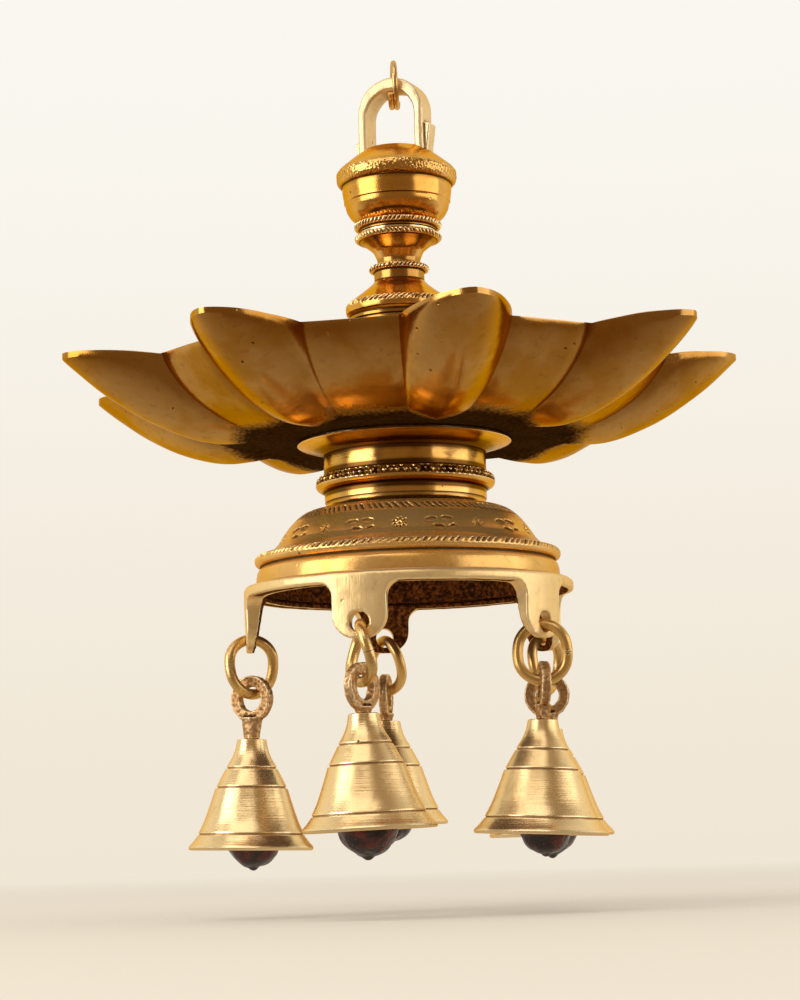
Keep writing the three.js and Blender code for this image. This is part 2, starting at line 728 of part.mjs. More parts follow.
function eyePlate(outerRadius, holeRadius, thickness, centre, segments) {
  const shape = new THREE.Shape();
  shape.absarc(0, centre, outerRadius, 0, 2 * Math.PI);
  const hole = new THREE.Path();
  hole.absarc(0, centre, holeRadius, 0, 2 * Math.PI, true);
  shape.holes.push(hole);
  return plate(shape, thickness, 0, segments);
}

function bellLevels(chain) {
  const bellTop = eyeFoot - chain.neck * eyeNeck;
  const tangFoot = bellTop - bellCrownThickness - gap - tangCollarHeight - tangLength;
  const hookCentre = tangFoot - hookEyeRadius + 0.5;
  return { bellTop, tangFoot, hookCentre, rim: bellTop - bellHeight };
}

function bellEye(chain) {
  const { bellTop, tangFoot, hookCentre } = bellLevels(chain);
  const collarTop = bellTop - bellCrownThickness - gap;
  return eyePlate(eyeOuterRadius, eyeHoleRadius, eyeThickness, eyeCentre, 8)
    .add(rod(eyeStemRadius, eyeFoot + 1.2, bellTop + gap))
    .add(rod(tangRadius, eyeFoot, tangFoot))
    .add(rod(tangCollarRadius, collarTop, collarTop - tangCollarHeight))
    .add(eyePlate(hookEyeRadius, hookEyeHole, hookEyeThickness, hookCentre, 5));
}

function bell(chain) {
  const { bellTop } = bellLevels(chain);
  const girth = chain.mouth;
  const mouth = girth * bellMouthRadius;
  const waist = bellWaistRadius * girth;
  const lip = bellLipRadius * girth;
  const at = (share) => bellTop - bellHeight * share;
  const outside = [
    [bellCrownRadius, at(0)],
    [lerp(bellCrownRadius, waist, 0.5), at(0.26)],
    [waist, at(0.43)],
    [lerp(waist, lip, 0.28), at(0.57)],
    [lerp(waist, lip, 0.65), at(0.74)],
    [lip, at(0.85)],
    [mouth, at(0.965)],
    [mouth - 0.2, at(1)],
  ];
  const inside = [
    [mouth - bellWall, at(1)],
    [lip - bellWall, at(0.86)],
    [waist - bellWall, at(0.46)],
    [bellCrownRadius - 0.4, bellTop - bellCrownThickness],
  ];
  const crown = [crownHole, bellTop - bellCrownThickness];
  return turned([[crownHole, bellTop], ...outside, ...inside, crown], bellFacets);
}

// The clapper's own frame hangs plumb from the middle of its wire where that lies in the hook eye.
const hookDrop = hookEyeHole - clapperLoopSeat - clapperWire / 2;

function ballLevels(chain) {
  const { hookCentre, rim } = bellLevels(chain);
  const foot = rim - chain.show * ballShow + clapperNub - (hookCentre - hookDrop);
  return { foot, top: foot + 2 * chain.ball * ballRadius };
}

// The wire that carries the ball: a loop in the hook eye, a shank, and a bead under the ball.
function clapperShank(chain) {
  const { foot } = ballLevels(chain);
  const place = (across, up) => new THREE.Vector3(0, across, up - clapperLoopRadius);
  const length = 2 * Math.PI * clapperLoopRadius;
  const height = 2 * clapperLoopRadius;
  const path = new OvalPath(clapperLoopRadius, height, 0.5 + gap / length, 1.5 - gap / length, place);
  const bead = turned([
    [0, foot - gap],
    [clapperWire, foot - gap],
    [0, foot - gap - clapperNub],
  ], wireFacets);
  return bentWire(path, clapperWire, 12)
    .add(rod(clapperWire / 2, -height, foot - gap - clapperNub / 2, wireFacets))
    .add(bead);
}

function clapper(chain) {
  const { foot, top } = ballLevels(chain);
  const bore = clapperWire / 2 + gap;
  const around = [150, 120, 90, 60, 30].map((angle) => [
    ((top - foot) / 2) * Math.sin(radians(angle)),
    (foot + top) / 2 + ((top - foot) / 2) * Math.cos(radians(angle)),
  ]);
  return turned([[bore, foot], ...around, [bore, top]], 2 * wireFacets);
}

function washer() {
  return turned([
    [rodBore, washerTop],
    [washerRadius, washerTop],
    [washerRadius, washerTop - washerThickness],
    [rodBore, washerTop - washerThickness],
  ], 2 * rodFacets);
}

function nut() {
  const corner = nutAcrossFlats / 2 / Math.cos(Math.PI / 6);
  const bore = rod(rodBore, nutTop + 1, nutTop - nutHeight - 1);
  return rod(corner, nutTop, nutTop - nutHeight, 6).subtract(bore);
}

const lamp = new THREE.Group();
lamp.add(
  piece("suspension_ring", suspensionRing(), paleBrass),
  piece("hanging_loop", hangingLoop(), paleBrass),
  piece("top_knob", topKnob(), brass),
  piece("stem", stem(), brass),
  piece("tie_rod", rod(rodRadius, rodTop, rodBottom), steel),
  piece("oil_bowl", oilBowl(), brass),
  piece("drum", drum(), brass),
  piece("foot", foot(), brass),
  piece("washer", washer(), steel),
  piece("nut", nut(), steel),
  piece("lug_crown", lugCrown(), brass),
);

chains.forEach((chain, i) => {
  const number = i + 1;
  const linkTop = lugHoleZ(chain) - linkTopBelowHole;
  const hanging = new THREE.Group();
  hanging.position.copy(towards(chain.lug).multiplyScalar(lugMidRadius(chain))).setZ(linkTop);
  hanging.add(piece(`link_${number}`, link(chain), brass));
  const swinging = new THREE.Group();
  swinging.position.z = -linkPathHeight;
  swinging.rotation.y = radians(chain.lean);
  const eye = new THREE.Group();
  eye.rotation.z = radians(chain.eye - 90);
  eye.add(
    piece(`bell_eye_${number}`, bellEye(chain), darkBrass),
    piece(`bell_${number}`, bell(chain), paleBrass),
  );
  const plumb = new THREE.Group();
  plumb.position.z = bellLevels(chain).hookCentre - hookDrop;
  plumb.rotation.y = radians(-chain.lean);
  const striker = new THREE.Group();
  striker.rotation.z = radians(chain.eye - 90);
  striker.add(
    piece(`clapper_shank_${number}`, clapperShank(chain), darkBrass),
    piece(`clapper_${number}`, clapper(chain), lac),
  );
  plumb.add(striker);
  swinging.add(eye, plumb);
  hanging.add(swinging);
  lamp.add(hanging);
});

export default lamp;
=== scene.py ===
import json
from math import asin, atan2, ceil, cos, degrees, dist, floor, hypot, pi, radians, sin, sqrt

import bmesh
import bpy
import numpy as np
from bmesh.types import BMFace, BMVert
from mathutils import Matrix, Quaternion, Vector, noise


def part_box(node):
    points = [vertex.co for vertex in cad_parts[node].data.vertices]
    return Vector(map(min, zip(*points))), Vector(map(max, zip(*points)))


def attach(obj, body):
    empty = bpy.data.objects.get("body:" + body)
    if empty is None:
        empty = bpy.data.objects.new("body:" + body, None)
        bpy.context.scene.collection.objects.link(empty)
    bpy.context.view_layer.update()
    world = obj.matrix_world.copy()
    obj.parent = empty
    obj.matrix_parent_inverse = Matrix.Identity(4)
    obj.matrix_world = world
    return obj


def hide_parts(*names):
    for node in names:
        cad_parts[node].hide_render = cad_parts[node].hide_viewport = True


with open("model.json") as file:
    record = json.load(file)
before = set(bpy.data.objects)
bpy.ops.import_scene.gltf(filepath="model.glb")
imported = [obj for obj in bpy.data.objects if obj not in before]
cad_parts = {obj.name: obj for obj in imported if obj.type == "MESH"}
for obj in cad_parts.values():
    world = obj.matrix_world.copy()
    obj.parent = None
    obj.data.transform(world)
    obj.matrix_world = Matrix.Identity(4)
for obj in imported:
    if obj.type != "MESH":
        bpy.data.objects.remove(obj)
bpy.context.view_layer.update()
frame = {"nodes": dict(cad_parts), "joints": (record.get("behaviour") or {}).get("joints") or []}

# The camera: a long lens level with the mouths of the bells, looking a little up at the lamp and held a
# little crooked, so the lamp's axis leans to the left in the picture.
camera_place = (0, -0.8, -0.25177)
degrees_aside, degrees_up, degrees_crooked = 0.136, 7.737, -1.671


def in_scene(name, data):
    """A new object for a mesh, a lamp or a camera, put in the scene."""
    made = bpy.data.objects.new(name, data)
    bpy.context.scene.collection.objects.link(made)
    return made


camera_settings = bpy.data.cameras.new("camera")
camera_settings.sensor_fit = "VERTICAL"
camera_settings.sensor_height = 36
camera_settings.lens = 90.9
camera_settings.clip_start = 0.02
camera_settings.clip_end = 40
camera = in_scene("camera", camera_settings)
camera.matrix_world = (
    Matrix.Translation(camera_place)
    @ Matrix.Rotation(radians(degrees_aside), 4, "Z")
    @ Matrix.Rotation(radians(90 + degrees_up), 4, "X")
    @ Matrix.Rotation(radians(degrees_crooked), 4, "Z")
)
bpy.context.scene.camera = camera


# The wire ring that the lamp hangs by: brass wire bent round by hand, its two ends lapped side by side
# at the foot, where the cast loop rests on it. Wire is drawn smooth, so it keeps a soft polish.
MM = 0.001
ring_wire = 1.9 * MM
ring_lap = 0.15
ring_steps = 96
# The share of the CAD piece's thickness that a dressed piece keeps, so that it stays inside it
ring_fit = 0.98


def only(kind, geom):
    """The vertices, or the faces, among what a bmesh operator gives back."""
    return [item for item in geom if isinstance(item, kind)]


def bent_wire(route, radius, sides=18):
    """Sweeps a round wire along a list of points, with a flat end at each end of it."""
    bm = bmesh.new()
    places = []
    heading = (route[1] - route[0]).normalized()
    turn = heading.to_track_quat("Z", "X").to_matrix()
    for before, point, after in zip([route[0]] + route, route, route[1:] + [route[-1]]):
        ahead = (after - before).normalized()
        turn = heading.rotation_difference(ahead).to_matrix() @ turn
        heading = ahead
        places.append(Matrix.Translation(point) @ turn.to_4x4())
    circle = bmesh.ops.create_circle(bm, cap_ends=True, segments=sides, radius=radius, matrix=places[0])
    end = list({face for vert in circle["verts"] for face in vert.link_faces})
    for here, there in zip(places, places[1:]):
        grown = bmesh.ops.extrude_face_region(bm, geom=end)["geom"]
        end = only(BMFace, grown)
        bmesh.ops.transform(bm, matrix=there @ here.inverted(), verts=only(BMVert, grown))
    return bm


def mark_hollows(mesh, rounds=2, broad_rounds=26):
    """Writes how hollow (above 0) or how ridged (below 0) the surface is at each point, per millimetre,
    the same spread out over a few millimetres, how far it faces down, and how far towards the axis."""

    def read(items, name, width, kind=float):
        values = np.empty(len(items) * width, dtype=kind)
        items.foreach_get(name, values)
        return values.reshape(-1, width)

    count = len(mesh.vertices)
    places = read(mesh.vertices, "co", 3)
    normals = read(mesh.vertices, "normal", 3)
    ends = read(mesh.edges, "vertices", 2, np.int32)
    here, there = np.concatenate([ends, ends[:, ::-1]]).T
    steps = places[there] - places[here]
    lengths = (steps ** 2).sum(1) + 1e-14
    bends = 2 * (steps * normals[here]).sum(1) / lengths * MM
    neighbours = np.maximum(np.bincount(here, minlength=count), 1)
    hollow = np.bincount(here, weights=bends, minlength=count) / neighbours
    inward = -(normals[:, :2] * places[:, :2]).sum(1) / (np.hypot(places[:, 0], places[:, 1]) + 1e-6)
    marks = {
        "hollow": (hollow, rounds),
        "shelter": (hollow, broad_rounds),
        "under": (-normals[:, 2], broad_rounds),
        "inward": (inward, rounds),
    }
    for name, (mark, spread) in marks.items():
        for _ in range(spread):
            near = np.bincount(here, weights=mark[there], minlength=count) / neighbours
            mark = (mark + near) / 2
        mesh.attributes.new(name, "FLOAT", "POINT").data.foreach_set("value", mark.astype(np.float32))


def made_piece(name, bm, body, finish, stands_for, sharp=35):
    """Turns a mesh that is in its place into a piece that rides on its body and wears its finish."""
    bmesh.ops.remove_doubles(bm, verts=bm.verts, dist=0.002 * MM)
    bmesh.ops.recalc_face_normals(bm, faces=bm.faces)
    mesh = bpy.data.meshes.new(name)
    bm.to_mesh(mesh)
    bm.free()
    mesh.shade_smooth()
    mesh.set_sharp_from_angle(angle=radians(sharp))
    mark_hollows(mesh)
    mesh.materials.append(finish)
    piece = in_scene(name, mesh)
    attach(piece, body)
    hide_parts(*stands_for)


class Shade:
    """A value that varies over a surface, and its arithmetic."""

    def __init__(self, finish, socket):
        self.finish = finish
        self.socket = socket

    def math(self, operation, first, second):
        return self.finish.node("ShaderNodeMath", {"operation": operation}, {0: first, 1: second})

    def __add__(self, other):
        return self.math("ADD", self, other)

    __radd__ = __add__

    def __sub__(self, other):
        return self.math("SUBTRACT", self, other)

    def __rsub__(self, other):
        return self.math("SUBTRACT", other, self)

    def __mul__(self, other):
        return self.math("MULTIPLY", self, other)

    __rmul__ = __mul__

    def between(self, low, high):
        """0 below low, 1 above high, and an even rise from one to the other."""
        values = {"Value": self, "From Min": low, "From Max": high}
        return self.finish.node("ShaderNodeMapRange", {"interpolation_type": "SMOOTHSTEP"}, values)


class Finish:
    """A material, its shader, and the one method that adds a node: its settings first, then its sockets."""

    def __init__(self, name, tree=None):
        if tree is None:
            self.material = bpy.data.materials.new(name)
            self.material.use_nodes = True
            tree = self.material.node_tree
            self.shader = tree.nodes["Principled BSDF"]
        self.tree = tree

    def node(self, kind, settings=None, sockets=None, output=0):
        made = self.tree.nodes.new(kind)
        for name, value in (settings or {}).items():
            setattr(made, name, value)
        for name, value in (sockets or {}).items():
            self.feed(made.inputs[name], value)
        return Shade(self, made.outputs[output])

    def feed(self, socket, value):
        if isinstance(value, Shade):
            self.tree.links.new(value.socket, socket)
        elif isinstance(value, tuple) and socket.type == "RGBA":
            socket.default_value = (*value, 1)
        else:
            socket.default_value = value

    def mix(self, share, first, second):
        """Two colours mixed: the first where the share is 0, the second where it is 1. Mix has sockets of
        one name for numbers, vectors and colours, so those for colours go by their numbers."""
        sockets = {"Factor": share, 6: first, 7: second}
        return self.node("ShaderNodeMix", {"data_type": "RGBA"}, sockets, output=2)

    def place(self):
        return self.node("ShaderNodeTexCoord", output="Object")

    def part(self, vector, letter):
        return self.node("ShaderNodeSeparateXYZ", {}, {"Vector": vector}, output=letter)

    def vector(self, operation, *vectors, output="Vector"):
        return self.node("ShaderNodeVectorMath", {"operation": operation}, dict(enumerate(vectors)), output)

    def mark(self, name):
        """What mark_hollows wrote under a name."""
        return self.node("ShaderNodeAttribute", {"attribute_name": name}, output="Fac")

    def noise(self, place, scale, detail, roughness=0.5):
        """An uneven value round 0.5, with detail rounds of ever finer noise in it."""
        sockets = {"Vector": place, "Scale": scale, "Detail": detail, "Roughness": roughness}
        return self.node("ShaderNodeTexNoise", {}, sockets)

    def bump(self, relief):
        """A relief in mm, as the shader's Normal takes it."""
        return self.node("ShaderNodeBump", {}, {"Height": relief, "Distance": MM})

    def wear(self, **inputs):
        """Feeds the shader's own sockets, named with underscores for spaces."""
        for name, value in inputs.items():
            self.feed(self.shader.inputs[name.replace("_", " ").title().replace("Ior", "IOR")], value)
        return self.material


def brass(
    name, tone, shadow, worn, roughness, turning=0.0, filing=0.0, pits=0.3, soil=(0.15, 0.7), grime_and_shade=0.6,
    satin=0.0, crust_and_shade_within=None, raw_and_shaded_inside=False, crust_and_shade_paleness=1.0,
):
    """Brass in three tones: its own, the brown that stays in its hollows and also serves as painted shade,
    and the pale metal of its worn ridges. Turning and filing are the depths in mm of the lines that a lathe
    and a file leave, and pits is how many pores show. Soil gives how hollow a place is where brown starts to
    lie and where it is thick, grime_and_shade how much brown is laid where a cloth doesn't reach, as grime,
    and on faces that look down and in broad hollows, as painted shade, and satin how dull the surface is.
    Within the radii of crust_and_shade_within, where that fades out, or on the faces of a
    raw_and_shaded_inside that look towards the axis or straight down, it is dark and rough: partly an
    uncleaned casting crust, partly painted shade. crust_and_shade_paleness says how pale that dark brown is."""
    finish = Finish(name)
    place = finish.place()
    hollow, shelter, under = (finish.mark(mark) for mark in ("hollow", "shelter", "under"))
    clouds = finish.noise(place, 38, 6, 0.6)
    waves = finish.noise(place, 95, 2)
    mottle = finish.noise(place, 420, 4)
    grit = finish.noise(place, 2600, 2)
    lathe_lines = {"X": finish.part(place, "X") * 40, "Z": finish.part(place, "Z") * 2600}
    lines = finish.noise(finish.node("ShaderNodeCombineXYZ", {}, lathe_lines), 1, 3)
    strokes = finish.noise(finish.vector("MULTIPLY", place, (2600, 2600, 90)), 1, 2)
    cells = finish.node("ShaderNodeTexVoronoi", {}, {"Vector": place, "Scale": 260})
    pores = (1 - cells.between(0.04, 0.15)) * waves.between(0.66 - 0.2 * pits, 0.74 - 0.2 * pits)
    soiled = (hollow + (clouds - 0.5) * 0.3).between(*soil)
    # Painted shade on faces that look down and in broad hollows, mixed with grime where a cloth doesn't reach
    grime_and_shade_mask = (shelter * 7 + under * 0.5 + (clouds - 0.5) * 0.7).between(0.1, 0.95) * grime_and_shade
    ridged = (0 - hollow).between(0.2, 1.1)
    umber = tuple(0.45 * t + 0.55 * s for t, s in zip(tone, shadow))
    bright = tuple(0.85 * t + 0.15 * w for t, w in zip(tone, worn))
    colour = finish.mix(clouds.between(0.38, 0.6), bright, tone)
    colour = finish.mix(mottle.between(0.55, 0.75) * 0.3, colour, umber)
    colour = finish.mix(grime_and_shade_mask, colour, umber)
    colour = finish.mix(grime_and_shade_mask.between(0.45, 1.0) * 0.75, colour, shadow)
    colour = finish.mix(ridged * 0.85, colour, worn)
    colour = finish.mix(soiled * (0.75 + 0.25 * mottle), colour, tuple(0.6 * s for s in shadow))
    colour = finish.mix(pores * 0.85, colour, tuple(0.3 * s for s in shadow))
    rough = roughness + (clouds - 0.5) * 0.2 + (mottle - 0.5) * 0.08 + soiled * 0.2 + grime_and_shade_mask * 0.05
    rough = rough + (lines - 0.5) * (2.0 * turning) + (strokes - 0.5) * (2.5 * filing)
    relief = (0 - pores) * 0.3 + (mottle - 0.5) * 0.04 + (lines - 0.5) * turning + grit * 0.01 + waves * 0.25
    relief = relief + (strokes - 0.5) * filing
    metal = 1 - satin - soiled * 0.25
    # A dark, rough zone, partly an uncleaned casting crust and partly painted shade: under the bowl round the
    # drum, or on faces that look towards the axis or straight down
    if crust_and_shade_within or raw_and_shaded_inside:
        crust = finish.noise(place, 760, 5, 0.7)
        deep = tuple(crust_and_shade_paleness * c for c in (0.022, 0.008, 0.003))
        paler_crust_and_shade = tuple(crust_and_shade_paleness * c for c in (0.20, 0.062, 0.015))
        crust_and_shade_colour = finish.mix(crust.between(0.4, 0.7), deep, paler_crust_and_shade)
        if raw_and_shaded_inside:
            inside = finish.mark("inward").between(0.15, 0.4) + under.between(0.9, 0.97)
        else:
            radius = finish.vector("LENGTH", finish.vector("MULTIPLY", place, (1, 1, 0)), output="Value")
            ragged = (crust - 0.5) * 0.012 + (clouds - 0.5) * 0.018 - shelter * 0.1
            inside = (1 - (radius + ragged).between(*crust_and_shade_within)) * 0.95
        colour = finish.mix(inside, colour, crust_and_shade_colour)
        rough = rough + inside * 0.6
        relief = relief + inside * crust * 0.7
        metal = metal - inside * 0.9
    return finish.wear(
        base_color=colour, metallic=metal, roughness=rough, normal=finish.bump(relief),
        specular_tint=(0.86, 0.58, 0.26), specular_ior_level=0.0,
    )


def oval(half_width, height, turns):
    """A point on an upright oval of two half circles and straight sides: how far across and how far up
    it lies from the middle, for a place given in turns from the foot of the oval."""
    straight = height / 2 - half_width
    angle = 2 * pi * turns
    share = max(-1, min(1, -cos(angle) * 3))
    return half_width * sin(angle), -half_width * cos(angle) + straight * share


ring_brass = brass(
    "wire_ring", (0.62, 0.38, 0.13), (0.12, 0.05, 0.015), (0.94, 0.74, 0.42), 0.24, pits=0.1, grime_and_shade=0.3
)
ring_low, ring_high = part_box("suspension_ring")
ring_middle = (ring_low.z + ring_high.z) / 2
ring_half_width = (ring_high.y - ring_low.y - ring_wire) / 2
ring_height = ring_high.z - ring_low.z - ring_wire
ring_route = []
for step in range(ring_steps + 1):
    share = step / ring_steps
    across, up = oval(ring_half_width, ring_height, -ring_lap + share * (1 + 2 * ring_lap))
    sideways = (0.5 - share) * (ring_wire + 0.3 * MM)
    ring_route.append(Vector((sideways, -across, ring_middle + up)))
ring_mesh = bent_wire(ring_route, ring_wire / 2 * ring_fit)
made_piece("wire_ring", ring_mesh, "ring", ring_brass, ["suspension_ring"])


# The cast loop on the knob: a horseshoe of brass, filed pale on its flat faces, with a wedge left on the
# outside of each leg. It stands on the knob's top with its legs let into it, and faces a little to the left.
loop_yaw = radians(-25)
loop_depth = 8.6 * MM
loop_inner_radius = 8.5 * MM
loop_leg = 3 * MM
loop_crown = 4.2 * MM
loop_chamfer = 0.7 * MM
loop_spur = 2.1 * MM
loop_spur_depth = 5 * MM
loop_spur_heights = {-1: 4.6 * MM, 1: 8.2 * MM}
loop_let_in = 3 * MM


def arc(centre, radius, start, end, steps):
    """Points on an arc, angles in degrees, as (across, up)."""
    angles = [radians(start + (end - start) * step / steps) for step in range(steps + 1)]
    return [(centre[0] + radius * cos(a), centre[1] + radius * sin(a)) for a in angles]


def ringed(bm, places):
    """New vertices, joined in a ring by edges."""
    verts = [bm.verts.new(place) for place in places]
    return verts, [bm.edges.new((verts[i - 1], verts[i])) for i in range(len(verts))]


def outline_face(bm, *outlines):
    """A flat face in the XZ plane from outlines of (across, up): its own, and that of any hole in it."""
    edges = []
    for outline in outlines:
        edges += ringed(bm, [(x, 0, z) for x, z in outline])[1]
    filled = bmesh.ops.triangle_fill(bm, edges=edges, use_beauty=True, use_dissolve=False)
    return only(BMFace, filled["geom"])


def thickened(bm, faces, depth):
    """Gives flat faces in the XZ plane a thickness, evenly to both sides of the plane."""
    verts = only(BMVert, bmesh.ops.extrude_face_region(bm, geom=faces)["geom"])
    bmesh.ops.translate(bm, verts=verts, vec=(0, depth, 0))
    everything = {vert for face in faces if face.is_valid for vert in face.verts} | set(verts)
    bmesh.ops.translate(bm, verts=list(everything), vec=(0, -depth / 2, 0))


def cast(bm, grain):
    """Fuses closed shapes that run into each other into one skin, with the soft edges of a casting."""
    bmesh.ops.recalc_face_normals(bm, faces=bm.faces)
    mesh = bpy.data.meshes.new("pattern")
    bm.to_mesh(mesh)
    bm.free()
    pattern = in_scene("pattern", mesh)
    mould = pattern.modifiers.new("mould", "REMESH")
    mould.mode = "VOXEL"
    mould.voxel_size = grain
    poured = bpy.data.meshes.new_from_object(pattern.evaluated_get(bpy.context.evaluated_depsgraph_get()))
    bpy.data.objects.remove(pattern)
    bpy.data.meshes.remove(mesh)
    casting = bmesh.new()
    casting.from_mesh(poured)
    bpy.data.meshes.remove(poured)
    bmesh.ops.smooth_vert(
        casting, verts=casting.verts, factor=0.5, use_axis_x=True, use_axis_y=True, use_axis_z=True
    )
    return casting


def roughened(bm, size, depth):
    """Moves each point in or out by an uneven amount, as a sand casting is uneven."""
    bm.normal_update()
    moves = [vert.normal * (noise.noise(vert.co / size) * depth) for vert in bm.verts]
    for vert, move in zip(bm.verts, moves):
        vert.co += move


filed_brass = brass(
    "filed_loop", (0.86, 0.66, 0.37), (0.24, 0.12, 0.04), (0.98, 0.86, 0.62), 0.36,
    filing=0.04, pits=0.45, grime_and_shade=0.25, satin=0.2,
)
knob_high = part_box("top_knob")[1].z
loop_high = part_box("hanging_loop")[1].z
loop_outer_radius = loop_inner_radius + loop_leg
loop_foot = knob_high - loop_let_in
loop_mesh = bmesh.new()
loop_outline = (
    [(loop_outer_radius, loop_foot)]
    + arc((0, loop_high - loop_outer_radius), loop_outer_radius, 0, 180, 40)
    + [(-loop_outer_radius, loop_foot), (-loop_inner_radius, loop_foot)]
    + arc((0, loop_high - loop_crown - loop_inner_radius), loop_inner_radius, 180, 0, 32)
    + [(loop_inner_radius, loop_foot)]
)
thickened(loop_mesh, outline_face(loop_mesh, loop_outline), loop_depth)
bmesh.ops.recalc_face_normals(loop_mesh, faces=loop_mesh.faces)
flat_edges = [
    edge
    for edge in loop_mesh.edges
    if edge.calc_face_angle(0) > 1 and abs(edge.verts[0].co.y - edge.verts[1].co.y) < MM
]
bmesh.ops.bevel(
    loop_mesh, geom=flat_edges, offset=loop_chamfer, affect="EDGES", segments=1, profile=0.5, material=-1
)
for side, height in loop_spur_heights.items():
    spur = [
        (side * (loop_outer_radius - loop_chamfer), loop_foot),
        (side * (loop_outer_radius + 0.3 * loop_spur), loop_foot),
        (side * (loop_outer_radius + loop_spur), knob_high + height - MM),
        (side * (loop_outer_radius - loop_chamfer), knob_high + height),
    ]
    thickened(loop_mesh, outline_face(loop_mesh, spur), loop_spur_depth)
loop_mesh = cast(loop_mesh, grain=0.28 * MM)
roughened(loop_mesh, size=2.6 * MM, depth=0.12 * MM)
bmesh.ops.rotate(loop_mesh, verts=loop_mesh.verts, cent=(0, 0, 0), matrix=Matrix.Rotation(loop_yaw, 3, "Z"))
made_piece("cast_loop", loop_mesh, "lamp", filed_brass, ["hanging_loop"], sharp=60)


# The knob under the loop: brass turned on a lathe, with a broad band that was then punched all round with
# a blunt chisel, a wall left with the faint flats of its polishing, a cup, and a milled ring at its foot.
knob_band = (6.4, 11.5)
knob_wall = (12.2, 17.4)
# A ring of nicks: its band of drops in mm, the radius that it starts from, and how many nicks there are,
# how slanting, how wide and how deep
knob_nicks = ((24.1, 26.1), 12.8, 58, 0.3, 0.34, 0.7)
punch_size = 0.72 * MM
punch_depth = 0.36 * MM


def through(*points, fine=0.55):
    """A smooth line through points of (radius, drop) in mm, with a step at most every fine mm."""
    ends = [points[0], *points, points[-1]]
    line = [points[0]]
    for before, start, end, after in zip(ends, ends[1:], ends[2:], ends[3:]):
        steps = max(1, ceil(dist(start, end) / fine))
        for step in range(1, steps + 1):
            t = step / steps
            line.append(tuple(
                0.5 * (
                    2 * s + (e - b) * t
                    + (2 * b - 5 * s + 4 * e - a) * t ** 2
                    + (3 * s - b - 3 * e + a) * t ** 3
                )
                for b, s, e, a in zip(before, start, end, after)
            ))
    return line


def turned(stretches, top, steps, closed=True):
    """Spins stretches of a profile, which meet in corners, about the lamp's axis: an eighth of a turn,
    and then that eighth round to the rest. A drop is measured downwards from the top, and a profile that
    is closed runs back to its own start."""
    profile = [stretches[0][0]]
    for stretch in stretches:
        profile += [point for point in stretch if dist(point, profile[-1]) > 0.01]
    bm = bmesh.new()
    verts = [bm.verts.new((radius * MM, 0, top - drop * MM)) for radius, drop in profile]
    edges = [bm.edges.new(pair) for pair in zip(verts, verts[1:])]
    if closed:
        edges.append(bm.edges.new((verts[-1], verts[0])))
    bmesh.ops.spin(bm, geom=verts + edges, axis=(0, 0, 1), angle=pi / 4, steps=steps // 8)
    wedge = bm.verts[:] + bm.edges[:] + bm.faces[:]
    bmesh.ops.spin(bm, geom=wedge, axis=(0, 0, 1), angle=pi * 7 / 4, steps=7, use_duplicate=True)
    bmesh.ops.remove_doubles(bm, verts=bm.verts, dist=0.004 * MM)
    return bm


def worked(bm, top, dent):
    """Sets points of a turned piece back towards the axis, by a depth in mm for an azimuth in degrees
    from the front, a drop in mm below the top, and a radius in mm."""
    for vert in bm.verts:
        radius = hypot(vert.co.x, vert.co.y)
        if radius > MM:
            azimuth = degrees(atan2(vert.co.x, -vert.co.y))
            depth = dent(azimuth, (top - vert.co.z) / MM, radius / MM) * MM
            vert.co.x *= 1 - depth / radius
            vert.co.y *= 1 - depth / radius


def lathe_piece(name, node, stretches, work, finish, steps, closed=True):
    """Turns one of the lamp's pieces where its node is, and works its surface."""
    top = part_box(node)[1].z
    bm = turned(stretches, top, steps, closed)
    worked(bm, top, work)
    made_piece(name, bm, "lamp", finish, [node])


def nick(azimuth, across, count, slant, width):
    """How deep one of a ring of chisel nicks cuts, from 0 to 1, for a place across the ring from -1 to 1."""
    turn = azimuth / 360 * count + slant * across
    number = floor(turn)
    uneven = 0.65 + 0.6 * noise.noise((number * 3.7, count, 0.5))
    aside = 0.3 * noise.noise((number * 5.3, 0.5, count))
    hit = max(0, 1 - abs(turn - number - 0.5 - aside) / width)
    return min(1, 1.6 * hit) * uneven * max(0, 1 - across ** 4)


def band_place(drop, band):
    """Where a drop lies across a band of two drops, from -1 to 1."""
    return (2 * drop - band[0] - band[1]) / (band[1] - band[0])


def nicked(azimuth, drop, radius, band, root, count, slant, width, depth):
    """How deep in mm a ring of nicks cuts at one place of a turned piece."""
    across = band_place(drop, band)
    return depth * nick(azimuth, across, count, slant, width) if abs(across) < 1 and radius > root else 0


def knob_work(azimuth, drop, radius):
    depth = 0
    across = band_place(drop, knob_band)
    if abs(across) < 1:
        place = Vector((radians(azimuth) * radius * MM, drop * MM * 1.3, 0)) / punch_size
        near = noise.voronoi(place)[0][0]
        depth = punch_depth * (near - 0.25) * (1 - across ** 6) / MM
    across = band_place(drop, knob_wall)
    if abs(across) < 1:
        depth += (0.16 + 0.16 * noise.noise((azimuth / 13, drop / 9, 2.5))) * (1 - across ** 4)
    return depth + nicked(azimuth, drop, radius, *knob_nicks)


